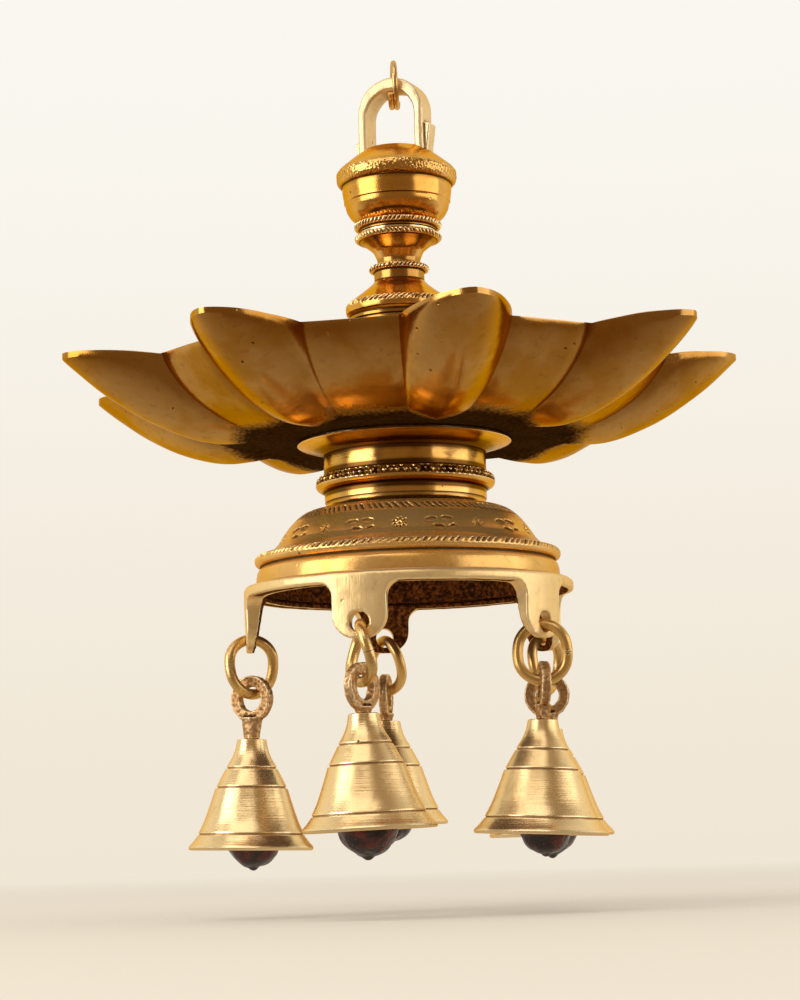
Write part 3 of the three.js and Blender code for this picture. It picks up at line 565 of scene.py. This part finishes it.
polished_brass = brass(
    "polished_brass", (0.80, 0.42, 0.08), (0.085, 0.026, 0.006), (0.99, 0.84, 0.55), 0.2, turning=0.02
)
knob_lines = [
    through((0, 0), (5, -0.1), (10.3, 0)),
    through((10.5, 0.15), (14.3, 2.8), (18.3, 6.1)),
    through((18.4, 6.3), (19.4, 7.4), (19.6, 9), (19.3, 10.6), (18.5, 11.5), fine=0.3),
    [(17.8, 11.8)],
    through((17.75, 12), (17.9, 13.7), (17.3, 17.3)),
    through((16.9, 17.7), (16.5, 19.7), (15.1, 22), (12.9, 23.8)),
    [(12.6, 23.95)],
    through((13.4, 24.1), (14.1, 24.5), (14.2, 25.1), (13.9, 25.9), (12.7, 26.15), fine=0.2),
    [(12.5, 26.3), (12.5, 26.9)],
    [(0, 26.9)],
]
lathe_piece("turned_knob", "top_knob", knob_lines, knob_work, polished_brass, steps=544, closed=False)


# The stem: one turned piece that stands on the bowl's floor and carries the knob. It has a milled ring at
# its top and a smaller one at its waist, and nicks all along the edge of the flange under its moulding.
stem_nicks = (
    ((0.95, 2.8), 12.8, 58, -0.35, 0.32, 0.65),
    ((11.2, 13.0), 8.4, 44, 0.4, 0.32, 0.65),
    ((23.3, 25.2), 16, 64, 0.5, 0.32, 0.65),
)


def stem_work(azimuth, drop, radius):
    return sum(nicked(azimuth, drop, radius, *ring) for ring in stem_nicks)


stem_lines = [
    [(4.4, 0), (12.3, 0), (12.4, 0.1), (12.4, 0.9)],
    through((13.5, 1), (14.1, 1.4), (14.1, 2.1), (13.7, 2.7), (12.5, 2.85), fine=0.2),
    through((12.4, 2.95), (8.7, 5.8), (7.6, 7.6), (6.95, 9.4), (7.1, 10.9)),
    through((7.6, 11.1), (9.3, 11.3), (9.8, 12.1), (9.4, 12.9), (8.2, 13.1), fine=0.2),
    through((8.1, 13.3), (8.1, 16.2)),
    through(
        (8.2, 16.3), (9.6, 17.8), (12.6, 20.2), (15.5, 22.4), (17.1, 23.7), (17.6, 24.7), (17.6, 26), fine=0.3
    ),
    [(17.4, 26.8), (16.6, 27.4), (16.2, 27.7)],
    [(16.2, 28.1), (16.9, 28.4), (16.9, 29.2), (16.3, 29.5)],
    through((16.3, 29.6), (16.5, 31.4), (17.6, 39.8), (20.6, 53.4), (24, 61.5), (25, 63), fine=1),
    [(25, 65.4), (4.4, 65.4)],
]
lathe_piece("turned_stem", "stem", stem_lines, stem_work, polished_brass, steps=440)


# The tie rod, washer and nut that pull the column together from inside: plain steel, grey and a little
# brown with age. Only the nut's end shows, up inside the foot.
steel = Finish("old_steel")
clouds = steel.noise(steel.place(), 190, 5)
scratches = steel.noise(steel.place(), 1500, 3)
steel.wear(
    base_color=steel.mix(clouds.between(0.42, 0.7), (0.30, 0.28, 0.26), (0.17, 0.09, 0.05)),
    metallic=1 - clouds.between(0.5, 0.8) * 0.5,
    roughness=0.34 + clouds * 0.3,
    normal=steel.bump(scratches * 0.05),
)
for name in ("tie_rod", "washer", "nut"):
    materials = frame["nodes"][name].data.materials
    materials.clear()
    materials.append(steel.material)


# The oil bowl with its nine spouts, cast in one piece: the wall swells between the spouts, each spout's
# keel dips below the floor and climbs to a blunt tip, and the rim was filed flat and bright by hand.
# Its sizes are in mm, with heights from the plane that most tips lie in.
bowl_depth = 24.5
bowl_wall = 2.6
bowl_floor_radius = 50
notch_radius = 85.5
notch_drop = 2.5
wall_sweep = 1.9
wall_roundness = 0.72
spout_root_radius = 43
spout_root_half_width = 6.3
spout_half_width = 16.8
spout_outline = 1.6
spout_section = 1.3
fold_depth = 0.7
keel_depth = 26.9
keel_low_radius = 60
keel_rise = 1.75
nose_height = 2
rim_lip = 0.6
rim_edge_drop = 0.25
rod_bore = 4.3
drum_gap = 0.3
tip_margin = 0.25
spout_steps = 26
panel_steps = 10
outer_rows = 44
inner_rows = 24
# Each spout as it was cast: its azimuth, the reach of its tip from the axis, and how far the tip rises
spouts = [
    (11, 110.7, 1.6),
    (53, 109.5, 2),
    (94, 109.2, 2),
    (133.5, 110.7, 0.6),
    (174, 110.7, 0),
    (214, 110.7, 0),
    (248, 110.7, -1),
    (289, 110.7, 0.4),
    (328.8, 110, 1.2),
]


def lerp(start, end, share):
    return start + (end - start) * share


def wall_height(radius, depth, rim):
    out = min(1, max(0, (radius - bowl_floor_radius) / (rim - bowl_floor_radius)))
    return -depth + (depth - notch_drop - rim_lip) * (1 - (1 - out ** wall_sweep) ** wall_roundness)


def keel_height(radius, depth, root_depth, tip):
    if radius < keel_low_radius:
        inwards = (keel_low_radius - radius) / (keel_low_radius - spout_root_radius)
        return -depth + (depth - root_depth) * inwards ** 2
    out = (radius - keel_low_radius) / (tip - keel_low_radius)
    return -depth + (depth - nose_height) * out ** keel_rise


def bowl_point(spout, beside, away, turn, panel, row, inset):
    """A point of the bowl's skin as azimuth, radius, height over the nominal tips, and lift. Turn runs
    from -1 to 1 across a spout, or panel from 0 to 1 across the wall to the spout beside it. The row runs
    from 0 at the spout roots to 1 at the rim, and inset is 0 outside and the wall inside."""
    azimuth, reach, rise = spout
    rim = notch_radius - inset
    tip = reach - tip_margin - 1.5 * inset
    crease_radius = lerp(spout_root_radius, rim, row)
    half_width = lerp(spout_root_half_width, spout_half_width, row) - 0.75 * inset
    crease = degrees(asin(half_width / crease_radius))
    wall = wall_height(crease_radius, bowl_depth - inset, rim)
    if panel is not None:
        swing = lerp(crease, away - crease, panel)
        lift = lerp(rise, beside[2], swing / away) * row ** 2
        chord = cos(radians(away / 2 - crease)) / cos(radians(swing - away / 2))
        return azimuth + swing, crease_radius * lerp(1, chord, row), wall + lift, lift
    across = abs(turn)
    swing = turn * crease
    lift = lerp(rise, beside[2], abs(swing) / away) * row ** 2
    keel = keel_height(lerp(spout_root_radius, tip, row), keel_depth - inset, bowl_depth - inset, tip)
    end = lerp(tip, rim, across ** spout_outline)
    height = lerp(keel, wall, across ** spout_section) + lift
    return azimuth + swing, lerp(spout_root_radius, end, row), height, lift


def around(turn, radius, height):
    """A point at a turn in radians from the front, a radius from the axis and a height."""
    return Vector((radius * sin(turn), -radius * cos(turn), height))


def bowl_columns():
    """What each column of the bowl's skin follows, all round: a spout's own columns, then its panel's."""
    columns = []
    for number, spout in enumerate(spouts):
        ahead = spouts[(number + 1) % len(spouts)]
        behind = spouts[number - 1]
        to_ahead = (ahead[0] - spout[0]) % 360
        to_behind = (spout[0] - behind[0]) % 360
        for step in range(spout_steps + 1):
            turn = 2 * step / spout_steps - 1
            beside, away = (behind, to_behind) if turn < 0 else (ahead, to_ahead)
            columns.append((spout, beside, away, turn, None))
        for step in range(1, panel_steps):
            columns.append((spout, ahead, to_ahead, None, step / panel_steps))
    return columns


def bowl_skin(column, row):
    """Azimuth, radius and height of each row's point: up the outside, over the rim, down the inside, and
    back under the floor."""
    if row <= outer_rows:
        azimuth, radius, height, _ = bowl_point(*column, (row / outer_rows) ** 0.85, 0)
        fold = fold_depth * min(1, 2.5 * row / outer_rows) if column[3] in (-1, 1) else 0
        return azimuth, radius - fold, height + fold / 2
    row -= outer_rows + 1
    if row <= 3:
        inset = bowl_wall * row / 3
        azimuth, radius, _, lift = bowl_point(*column, 1, inset)
        turn = column[3]
        edge = 0 if row in (1, 2) else rim_edge_drop
        return azimuth, radius, lift - notch_drop * (1 if turn is None else turn ** 2) - edge
    row -= 4
    if row <= inner_rows:
        return bowl_point(*column, 1 - row / inner_rows, bowl_wall)[:3]
    azimuth, _, height, _ = bowl_point(*column, 0, bowl_wall if row == inner_rows + 1 else 0)
    return azimuth, rod_bore, height


tip_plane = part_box("drum")[1].z + (drum_gap + bowl_depth) * MM
columns = bowl_columns()
rows = outer_rows + 4 + inner_rows + 4
bowl_mesh = bmesh.new()
blank, edges = ringed(bowl_mesh, [(1, 0, row) for row in range(rows)])
bmesh.ops.spin(
    bowl_mesh, geom=blank + edges, axis=(0, 0, 1), angle=2 * pi, steps=len(columns), use_merge=True
)
for vert in bowl_mesh.verts:
    column = columns[round(atan2(vert.co.y, vert.co.x) / (2 * pi) * len(columns)) % len(columns)]
    azimuth, radius, height = bowl_skin(column, round(vert.co.z))
    vert.co = around(radians(azimuth), radius, height) * MM
    vert.co.z += tip_plane
roughened(bowl_mesh, size=11 * MM, depth=0.18 * MM)
# Round the drum under the bowl it is dark: partly an uncleaned casting crust, partly painted shade
bowl_brass = brass(
    "bowl_brass", (0.50, 0.235, 0.037), (0.075, 0.021, 0.005), (0.99, 0.80, 0.46), 0.19,
    filing=0.012, pits=0.5, soil=(0.04, 0.36), grime_and_shade=0.9, crust_and_shade_within=(0.054, 0.061), crust_and_shade_paleness=0.3,
)
made_piece("bowl_casting", bowl_mesh, "lamp", bowl_brass, ["oil_bowl"])


# The drum under the bowl: turned brass with a thin flange at its top, a waist, and a broad ring that was
# milled with a row of crossed nicks, which have filled with dark polish.
drum_nicks = [((11.2, 13.9), 26, 84, slant, 0.32, 1.1) for slant in (0.42, -0.42)]


def drum_work(azimuth, drop, radius):
    return max(nicked(azimuth, drop, radius, *ring) for ring in drum_nicks)


drum_brass = brass(
    "drum_brass", (0.80, 0.45, 0.10), (0.075, 0.022, 0.005), (0.99, 0.82, 0.50), 0.18,
    turning=0.02, soil=(0.08, 0.5), grime_and_shade=1.0,
)
drum_lines = [
    [(4.4, 0), (34.1, 0), (34.3, 0.2), (34.3, 0.8)],
    through((34, 1), (30, 2.1), (27.2, 3.1), (26.2, 4.1), (26, 5), (26, 10.8)),
    through(
        (26.3, 10.9), (27.7, 11.3), (28.5, 12.3), (28.7, 13.3), (28.6, 14.4), (27.8, 15.4), (26.2, 16.1),
        fine=0.24,
    ),
    through((25.9, 16.3), (25.9, 19.3)),
    through((25.6, 19.5), (25.6, 20.4), (26, 21.5)),
    [(22.8, 21.6), (22.8, 3.6), (4.4, 3.6)],
]
lathe_piece("turned_drum", "drum", drum_lines, drum_work, drum_brass, steps=720)


# The foot: a spreading turned piece with slanting nicks on its shoulder, a band engraved with rosettes,
# leaves and stars, a nicked bead, and a plain rounded rim that goes down into the crown.
foot_nicks = (
    ((1.7, 4.1), 30, 104, -0.5, 0.36, 0.9),
    ((14.4, 16.0), 44, 144, 0.3, 0.32, 0.75),
)
engraved_band = (4.6, 13.4)
engraved_root = 33
engraving_depth = 0.5
band_repeats = 5
band_start = -3
# Each cut of a motif: how far across and up it lies, half its length, half its width, and its tilt
rosette = [(0, 0, 0.5, 0.5, 0)]
for petal in range(9):
    turn = pi / 4.5 * petal
    rosette.append((1.75 * cos(turn), 1.75 * sin(turn), 0.75, 0.34, turn))
star = [(0, 0, 2.1, 0.3, radians(tilt)) for tilt in (0, 45, 90, 135)]
leaves = [
    (-2.8, 1.3, 2.2, 1.0, radians(8)),
    (2.2, 1.6, 2.2, 1.0, radians(-6)),
    (-0.7, -1.7, 1.9, 0.9, radians(-8)),
    (3.6, -1.4, 1.3, 0.6, radians(20)),
]
motifs = [rosette, leaves, star, leaves]


def engraving(azimuth, drop, radius):
    """How deep the engraver cut here: the deepest of the cuts of the motif that is nearest."""
    turn = (azimuth - band_start) / 360 * band_repeats * len(motifs)
    number = round(turn)
    along = (turn - number) / (band_repeats * len(motifs)) * 2 * pi * radius
    up = (engraved_band[0] + engraved_band[1]) / 2 - drop
    deepest = 0
    for across, height, length, width, tilt in motifs[number % len(motifs)]:
        x, y = along - across, up * 1.25 - height
        along_cut = (x * cos(tilt) + y * sin(tilt)) / length
        across_cut = (y * cos(tilt) - x * sin(tilt)) / width
        deepest = max(deepest, 1 - along_cut ** 2 - across_cut ** 2)
    return engraving_depth * sqrt(deepest)


def foot_work(azimuth, drop, radius):
    depth = sum(nicked(azimuth, drop, radius, *ring) for ring in foot_nicks)
    if engraved_band[0] < drop < engraved_band[1] and radius > engraved_root:
        depth += engraving(azimuth, drop, radius)
    return depth


# The foot's inside and its faces that look straight down are dark: partly raw metal, partly painted shade
foot_brass = brass(
    "foot_brass", (0.80, 0.45, 0.11), (0.075, 0.024, 0.006), (0.99, 0.84, 0.54), 0.26,
    turning=0.015, soil=(0.08, 0.5), grime_and_shade=0.1, satin=0.24, raw_and_shaded_inside=True, crust_and_shade_paleness=1.9,
)
foot_lines = [
    [(4.4, 0), (26.3, 0)],
    through((26.5, 0.05), (30.5, 0.5), (33, 1.4), (35.2, 3), fine=0.4),
    through((35.2, 3), (37.1, 4.9), (39.3, 7.8), (41, 10.5), fine=0.32),
    through((41, 10.5), (42.9, 12.5), (45.1, 13.7), (46.4, 14), fine=0.5),
    through((46.6, 14.1), (47.9, 14.4), (48.6, 15.2), (48.7, 16.2), (48.3, 17.1), (47.4, 17.6), fine=0.26),
    [(46.7, 17.7), (46.6, 18.1)],
    through((46.9, 18.3), (47.8, 19.4), (48.2, 21.2), (48.3, 23.4)),
    [(48.2, 25.6), (45.4, 25.5), (45.2, 17.6), (38, 13.5), (30, 3), (4.4, 3)],
]
lathe_piece("turned_foot", "foot", foot_lines, foot_work, foot_brass, steps=720)


# The crown: a cast ring pressed round the foot's rim, with five lugs that hang from it, each bored for a
# link. It is filed smooth outside, and left as it came from the mould inside, dark and pitted, and painted
# shade darkens that inside and its downward faces as well.
crown_radius = 52.4 * MM
crown_height = 3.7
lug_width = 17.5 * MM
lug_drop = 17.1 * MM
lug_corner = 7.4 * MM
lug_fillet = 4.2 * MM
lug_top_thickness = 5.8 * MM
lug_tip_thickness = 2.4 * MM
lug_lean = 0.4 * MM
lug_hole_radius = 3.2 * MM
lug_hole_above_tip = 5 * MM
lug_overlap = 1.6 * MM
lug_bend = 1.4 * MM
# The azimuth of each lug and how much shorter than the others it was filed
lugs = [(-17, 0), (53, 0), (119, 0), (190, 2.7 * MM), (273, 0)]


def lug(bm, azimuth, drop, crown_foot):
    """A lug cut flat with its hole, scored so that it bends, thinned towards its tip, and bent round to
    the crown."""
    half = lug_width / 2
    side = [(-half - lug_fillet, lug_overlap)]
    side += arc((-half - lug_fillet, -lug_fillet), lug_fillet, 90, 0, 10)
    side += arc((-half + lug_corner, lug_corner - drop), lug_corner, 180, 270, 14)
    hole = arc((0, lug_hole_above_tip - drop), lug_hole_radius, 0, 360, 32)[:-1]
    faces = outline_face(bm, side + [(-x, z) for x, z in reversed(side)], hole)
    for step in range(-9, 10):
        geom = faces + list(dict.fromkeys(edge for face in faces for edge in face.edges))
        geom += list(dict.fromkeys(vert for face in faces for vert in face.verts))
        cut = bmesh.ops.bisect_plane(bm, geom=geom, plane_co=(step * lug_bend, 0, 0), plane_no=(1, 0, 0))
        faces = only(BMFace, cut["geom"])
    outside = {vert for face in faces for vert in face.verts}
    inside = set(only(BMVert, bmesh.ops.extrude_face_region(bm, geom=faces)["geom"]))
    for vert in outside | inside:
        down = max(0, -vert.co.z) / lug_drop
        depth = lerp(lug_top_thickness, lug_tip_thickness, down) if vert in inside else 0
        turn = radians(azimuth) + vert.co.x / crown_radius
        vert.co = around(turn, crown_radius - lug_lean * down - depth, crown_foot + vert.co.z)


crown_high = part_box("lug_crown")[1].z
crown_mesh = turned(
    [
        through((48.6, 0), (50.2, 0.05), (51.4, 0.35), (52.1, 0.9), (52.4, 1.6)),
        [(52.4, crown_height), (45.6, crown_height), (45.6, 2.3), (48.6, 2.3)],
    ],
    crown_high,
    steps=304,
)
for azimuth, shorter in lugs:
    lug(crown_mesh, azimuth, lug_drop - shorter, crown_high - crown_height * MM)
crown_mesh = cast(crown_mesh, grain=0.42 * MM)
roughened(crown_mesh, size=4 * MM, depth=0.1 * MM)
crown_brass = brass(
    "crown_brass", (0.92, 0.68, 0.33), (0.11, 0.04, 0.012), (0.99, 0.84, 0.55), 0.34,
    filing=0.05, pits=0.5, grime_and_shade=0.2, satin=0.22, raw_and_shaded_inside=True, crust_and_shade_paleness=1.9,
)
made_piece("crown_casting", crown_mesh, "lamp", crown_brass, ["lug_crown"], sharp=60)


# The five links: brass wire bent into an oval and twisted as it was closed, so that the foot of each
# faces another way than its top. They have been rubbed smooth by the lugs and the bell eyes.
link_wire = 3.4 * MM
link_width = 18.7 * MM
link_steps = 80
link_start = 0.2505
link_fit = 0.985
hinges = {joint["name"]: joint for joint in frame["joints"]}


def hinge(name):
    """Where a joint's axis passes, and which way it runs."""
    return Vector(hinges[name]["pos_m"]), Vector(hinges[name]["axis"]).normalized()


link_brass = brass(
    "link_brass", (0.74, 0.48, 0.17), (0.11, 0.04, 0.01), (0.97, 0.79, 0.47), 0.3, pits=0.15, satin=0.08
)
for number in range(1, 6):
    top, top_axis = hinge(f"link_swing_{number}")
    foot, foot_axis = hinge(f"bell_swing_{number}")
    twist = top_axis.rotation_difference(foot_axis)
    height = (top - foot).length
    route = []
    for step in range(link_steps + 1):
        turns = link_start + step / link_steps * 0.999
        across, up = oval((link_width - link_wire) / 2, height, turns)
        down = 0.5 - up / height
        facing = top_axis.copy()
        facing.rotate(Quaternion().slerp(twist, down))
        route.append(top.lerp(foot, down) + facing * across)
    wire = bent_wire(route, link_wire / 2 * link_fit, sides=24)
    body = f"link_body_{number}"
    made_piece(f"bent_link_{number}", wire, body, link_brass, [f"link_{number}"])


# The bells. Each hangs by a rough cast eye, whose tang goes down through the bell's crown and ends in a
# small hook eye for the clapper. The bell itself is turned thin, satin, with dark grooves round it.
eye_outer = 7.4 * MM
eye_hole = 3.9 * MM
eye_thickness = 2.9 * MM
eye_fit = 0.99
eye_centre = link_wire / 2 + 0.75 * MM - eye_hole
eye_foot = eye_centre - eye_outer
neck_top_radius = 3.6 * MM
neck_foot_radius = 2.7 * MM
neck_flatness = 0.72
tang_radius = 1.6 * MM
tang_length = 4.2 * MM
tang_collar = 3 * MM
hook_eye_radius = 3 * MM
hook_eye_hole = 1.4 * MM
arris = 0.35 * MM
bell_height = 34.6
bell_crown_thickness = 2.4
usual_mouth = 20.5
# The length in mm of each eye's neck and the radius of each bell's mouth
bell_sizes = [(0.5, 20.2), (3.1, 20.5), (3.6, 20.2), (1.1, 19.6), (5.3, 19.5)]


def eye_ring(bm, outer, hole, thickness, centre):
    """A flat ring that faces along Y, with its arrises taken off."""
    half = thickness / 2
    section = [(hole, arris - half), (hole + arris, -half), (outer - arris, -half), (outer, arris - half)]
    section += [(radius, -across) for radius, across in reversed(section)]
    verts, edges = ringed(bm, [(radius, across, centre) for radius, across in section])
    middle = (0, 0, centre)
    bmesh.ops.spin(
        bm, geom=verts + edges, cent=middle, axis=(0, 1, 0), angle=2 * pi, steps=40, use_merge=True
    )


def upright_cone(bm, top, foot, top_radius, foot_radius, flatness=1.0):
    """A round or flattened taper between two heights on the Z axis."""
    place = Matrix.Translation((0, 0, (top + foot) / 2)) @ Matrix.Diagonal((1, flatness, 1, 1))
    bmesh.ops.create_cone(
        bm, cap_ends=True, segments=24, radius1=foot_radius, radius2=top_radius, depth=top - foot,
        matrix=place,
    )


def bell_eye(neck):
    """The eye, its neck, the tang with a collar under the bell's crown, and the hook eye."""
    bell_top = eye_foot - neck * MM
    collar_top = bell_top - (bell_crown_thickness + 0.3) * MM
    tang_foot = collar_top - tang_length
    bm = bmesh.new()
    eye_ring(bm, eye_outer * eye_fit, eye_hole, eye_thickness, eye_centre)
    neck_top, neck_foot = eye_foot + 1.6 * MM, bell_top + 0.2 * MM
    upright_cone(bm, neck_top, neck_foot, neck_top_radius, neck_foot_radius, neck_flatness)
    upright_cone(bm, eye_foot, tang_foot, tang_radius, tang_radius)
    upright_cone(bm, collar_top, collar_top - 1.2 * MM, tang_collar, tang_collar)
    eye_ring(bm, hook_eye_radius, hook_eye_hole, 1.2 * MM, tang_foot - 2.5 * MM)
    bm = cast(bm, grain=0.24 * MM)
    roughened(bm, size=1.1 * MM, depth=0.2 * MM)
    return bm


def bell_shell(neck, mouth):
    """The bell, with a step out after each groove. Most places are a radius in mm in a bell of the usual
    mouth, and a share of the bell's height."""
    girth = mouth / usual_mouth

    def wide(*places):
        return [(radius * lerp(1, girth, share), share * bell_height) for radius, share in places]

    outside = [
        through((1.9, 0), (4.3, 0)),
        through((4.6, 0.2), *wide((5.2, 0.09), (6.3, 0.17), (7.9, 0.245))),
        wide((7.95, 0.252), (7.6, 0.258), (7.7, 0.266), (8.35, 0.272)),
        through(*wide((8.4, 0.276), (9.8, 0.35), (11.1, 0.42))),
        wide((11.15, 0.427), (10.8, 0.433), (10.9, 0.441), (11.65, 0.447)),
        through(*wide((11.7, 0.452), (13.1, 0.57), (15.2, 0.73), (17.1, 0.84))),
        wide((17.15, 0.847), (16.85, 0.853), (16.95, 0.861), (17.45, 0.866)),
        through(*wide((17.5, 0.87), (18.9, 0.92), (20.35, 0.965), (20.5, 0.98), (20.35, 0.995)), fine=0.4),
        wide((19.9, 1.0)),
    ]
    inside = [
        through(*wide((19.0, 0.995), (17.6, 0.94), (15.6, 0.85), (11.6, 0.6), (9.6, 0.45)), fine=1),
        through(*wide((9.6, 0.45), (6.6, 0.25), (4.3, 0.075)), fine=1),
        [(1.9, bell_crown_thickness)],
    ]
    return turned(outside + inside, eye_foot - neck * MM, steps=120)


eye_brass = brass(
    "eye_brass", (0.44, 0.25, 0.105), (0.075, 0.026, 0.010), (0.92, 0.72, 0.45), 0.42,
    pits=0.1, soil=(0.05, 0.75), grime_and_shade=0.9, satin=0.15,
)
bell_brass = brass(
    "bell_brass", (0.92, 0.68, 0.34), (0.17, 0.06, 0.015), (0.99, 0.86, 0.58), 0.28,
    turning=0.05, pits=0.12, soil=(0.3, 1.0), grime_and_shade=0.25, satin=0.05,
)
for number, (neck, mouth) in enumerate(bell_sizes, start=1):
    body = f"bell_body_{number}"
    hung, _ = hinge(f"bell_swing_{number}")
    below, axis = hinge(f"clapper_swing_{number}")
    # The bell's own up is its Z, and the axis that its clapper swings about is its Y
    up = (hung - below).normalized()
    axis = (axis - up * axis.dot(up)).normalized()
    place = Matrix.Translation(hung) @ Matrix((axis.cross(up), axis, up)).transposed().to_4x4()
    eye, shell = bell_eye(neck), bell_shell(neck, mouth)
    for bm in (eye, shell):
        bmesh.ops.transform(bm, matrix=place, verts=bm.verts)
    made_piece(f"cast_eye_{number}", eye, body, eye_brass, [f"bell_eye_{number}"], sharp=60)
    made_piece(f"turned_bell_{number}", shell, body, bell_brass, [f"bell_{number}"], sharp=28)


# The clappers: hard dark seeds, uneven and glossy, each threaded on a wire that is bent into a loop at
# its top and runs down through the seed.
clapper_wire = 1.5 * MM
clapper_loop = 2.4 * MM
clapper_nub = 0.9 * MM
clapper_fit = 0.95
seed_fit = 0.96
hook_steps = 32
hook_start, hook_turn = 188, 344
seed = Finish("clapper_seed")
clouds = seed.noise(seed.place(), 160, 5)
grain = seed.noise(seed.place(), 900, 3)
colour = seed.mix(clouds.between(0.42, 0.68), (0.010, 0.004, 0.003), (0.125, 0.016, 0.008))
seed.wear(
    base_color=seed.mix(grain.between(0.6, 0.75) * 0.5, colour, (0.16, 0.05, 0.022)),
    roughness=0.14 + grain * 0.2,
    normal=seed.bump(clouds * 1.1 + grain * 0.2),
)
for number in range(1, 6):
    body = f"clapper_body_{number}"
    low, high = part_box(f"clapper_{number}")
    middle, radius = (low + high) / 2, (high.z - low.z) / 2
    hung, axis = hinge(f"clapper_swing_{number}")
    ball_mesh = bmesh.new()
    bmesh.ops.create_icosphere(ball_mesh, subdivisions=5, radius=radius * seed_fit)
    bmesh.ops.translate(ball_mesh, verts=ball_mesh.verts, vec=middle)
    for vert in ball_mesh.verts:
        out = (vert.co - middle).normalized()
        lump = noise.noise(out * 1.3 + Vector((number * 5.3, 0, 0)))
        lump += 0.4 * noise.noise(out * 3.1 + Vector((0, number, 0)))
        vert.co -= out * radius * 0.07 * (0.5 + lump)
        vert.co.z -= clapper_nub * max(0, 1 - ((out.x ** 2 + out.y ** 2) / 0.045)) * (out.z < 0)
    made_piece(f"clapper_seed_{number}", ball_mesh, body, seed.material, [f"clapper_{number}"])
    route = []
    for step in range(hook_steps + 1):
        turn = radians(hook_start + hook_turn * step / hook_steps)
        rise = Vector((0, 0, clapper_loop * (cos(turn) - 1)))
        route.append(hung + axis * (clapper_loop * sin(turn)) + rise)
    knee = hung - Vector((0, 0, 2.3 * clapper_loop))
    route += [knee.lerp(Vector((knee.x, knee.y, low.z + 0.8 * MM)), step / 6) for step in range(7)]
    wire = bent_wire(route, clapper_wire / 2 * clapper_fit, sides=12)
    made_piece(f"clapper_wire_{number}", wire, body, eye_brass, [f"clapper_shank_{number}"])


# The studio: a pale floor that runs back out of sight close under the bells, soft lamps at both sides and
# high in front, and a pale surround. The camera's side of the room is dim, and the brass shows both.
floor_height = -0.274
cream_high = (0.958, 0.930, 0.870)
cream_low = (0.872, 0.792, 0.662)
dim_room = (0.23, 0.14, 0.06)
bowl_middle = Vector((0, 0, -0.13))
# Each flat soft lamp, which faces the bowl: its place, width, height, how bright its face is, and its colour
soft_lamps = {
    "left_soft_lamp": ((-1.27, -0.6, 0.2), 1.05, 1.0, 3.2, (1.0, 0.97, 0.92)),
    "right_soft_lamp": ((1.35, -0.5, 0.12), 1.6, 0.9, 1.3, (1.0, 0.95, 0.88)),
    "high_soft_lamp": ((-0.35, -0.75, 1.1), 1.5, 1.1, 1.3, (1.0, 0.98, 0.95)),
}


def rays(finish):
    """Which rays ask: those from the camera, and those that metal or glass sends on."""
    camera_ray, glossy, through_glass = (
        finish.node("ShaderNodeLightPath", output=f"Is {kind} Ray")
        for kind in ("Camera", "Glossy", "Transmission")
    )
    return camera_ray, glossy + through_glass


def studio_floor():
    """The camera sees the lamp's shadow on it, and plain cream far off. The brass mirrors it as cream, but
    dim on the camera's side."""
    bm = bmesh.new()
    bmesh.ops.create_grid(bm, x_segments=8, y_segments=8, size=30)
    bmesh.ops.translate(bm, verts=bm.verts, vec=(0, 0, floor_height))
    mesh = bpy.data.meshes.new("studio_floor")
    bm.to_mesh(mesh)
    bm.free()
    floor = in_scene("studio_floor", mesh)
    finish = Finish("studio_floor")
    camera_ray, mirrored = rays(finish)
    place = finish.place()
    depth = finish.part(place, "Y")
    away = finish.vector("LENGTH", place, output="Value")
    clouds = finish.noise(place, 1.5, 2)
    tone = finish.mix(clouds * 0.2, tuple(0.86 * c for c in cream_low), tuple(0.93 * c for c in cream_low))
    finish.wear(base_color=tone, roughness=0.75 + clouds * 0.1)
    pool = finish.mix(away.between(0.1, 0.34), cream_low, dim_room)
    shown = finish.mix(mirrored, cream_low, finish.mix(depth.between(-0.3, 0.35), pool, cream_low))
    glow = finish.node("ShaderNodeEmission", {}, {"Color": shown})
    plain = 0.6 - away.between(0.05, 0.18) * 0.35 + away.between(0.3, 1.3) * 0.75
    share = camera_ray * plain + mirrored
    lit = Shade(finish, finish.shader.outputs["BSDF"])
    seen = finish.node("ShaderNodeMixShader", {}, {0: share, 1: lit, 2: glow})
    finish.feed(finish.tree.nodes["Material Output"].inputs["Surface"], seen)
    mesh.materials.append(finish.material)


for name, (place, width, height, strength, colour) in soft_lamps.items():
    lamp = bpy.data.lights.new(name, "AREA")
    lamp.shape = "RECTANGLE"
    lamp.size = width
    lamp.size_y = height
    lamp.energy = strength * pi * width * height
    lamp.color = colour
    holder = in_scene(name, lamp)
    holder.location = place
    holder.rotation_euler = (bowl_middle - Vector(place)).to_track_quat("-Z", "Y").to_euler()
studio_floor()
# The surround is pale all round for the camera; for the brass, pale behind the lamp and dim in front
world = bpy.data.worlds.new("studio")
world.use_nodes = True
bpy.context.scene.world = world
sky = Finish("studio", world.node_tree)
way = sky.node("ShaderNodeTexCoord")
camera_ray, mirrored = rays(sky)
height, depth = sky.part(way, "Z"), sky.part(way, "Y")
seen = sky.mix(height.between(-0.03, 0.33), cream_low, cream_high)
reflected = sky.mix(depth.between(-0.5, 0.6), dim_room, seen)
lit = sky.mix(height.between(-0.5, 0.6), (0.30, 0.27, 0.22), (0.76, 0.735, 0.69))
colour = sky.mix(camera_ray, sky.mix(mirrored, lit, reflected), seen)
sky.feed(world.node_tree.nodes["Background"].inputs["Color"], colour)
bpy.context.scene.view_settings.view_transform = "Standard"
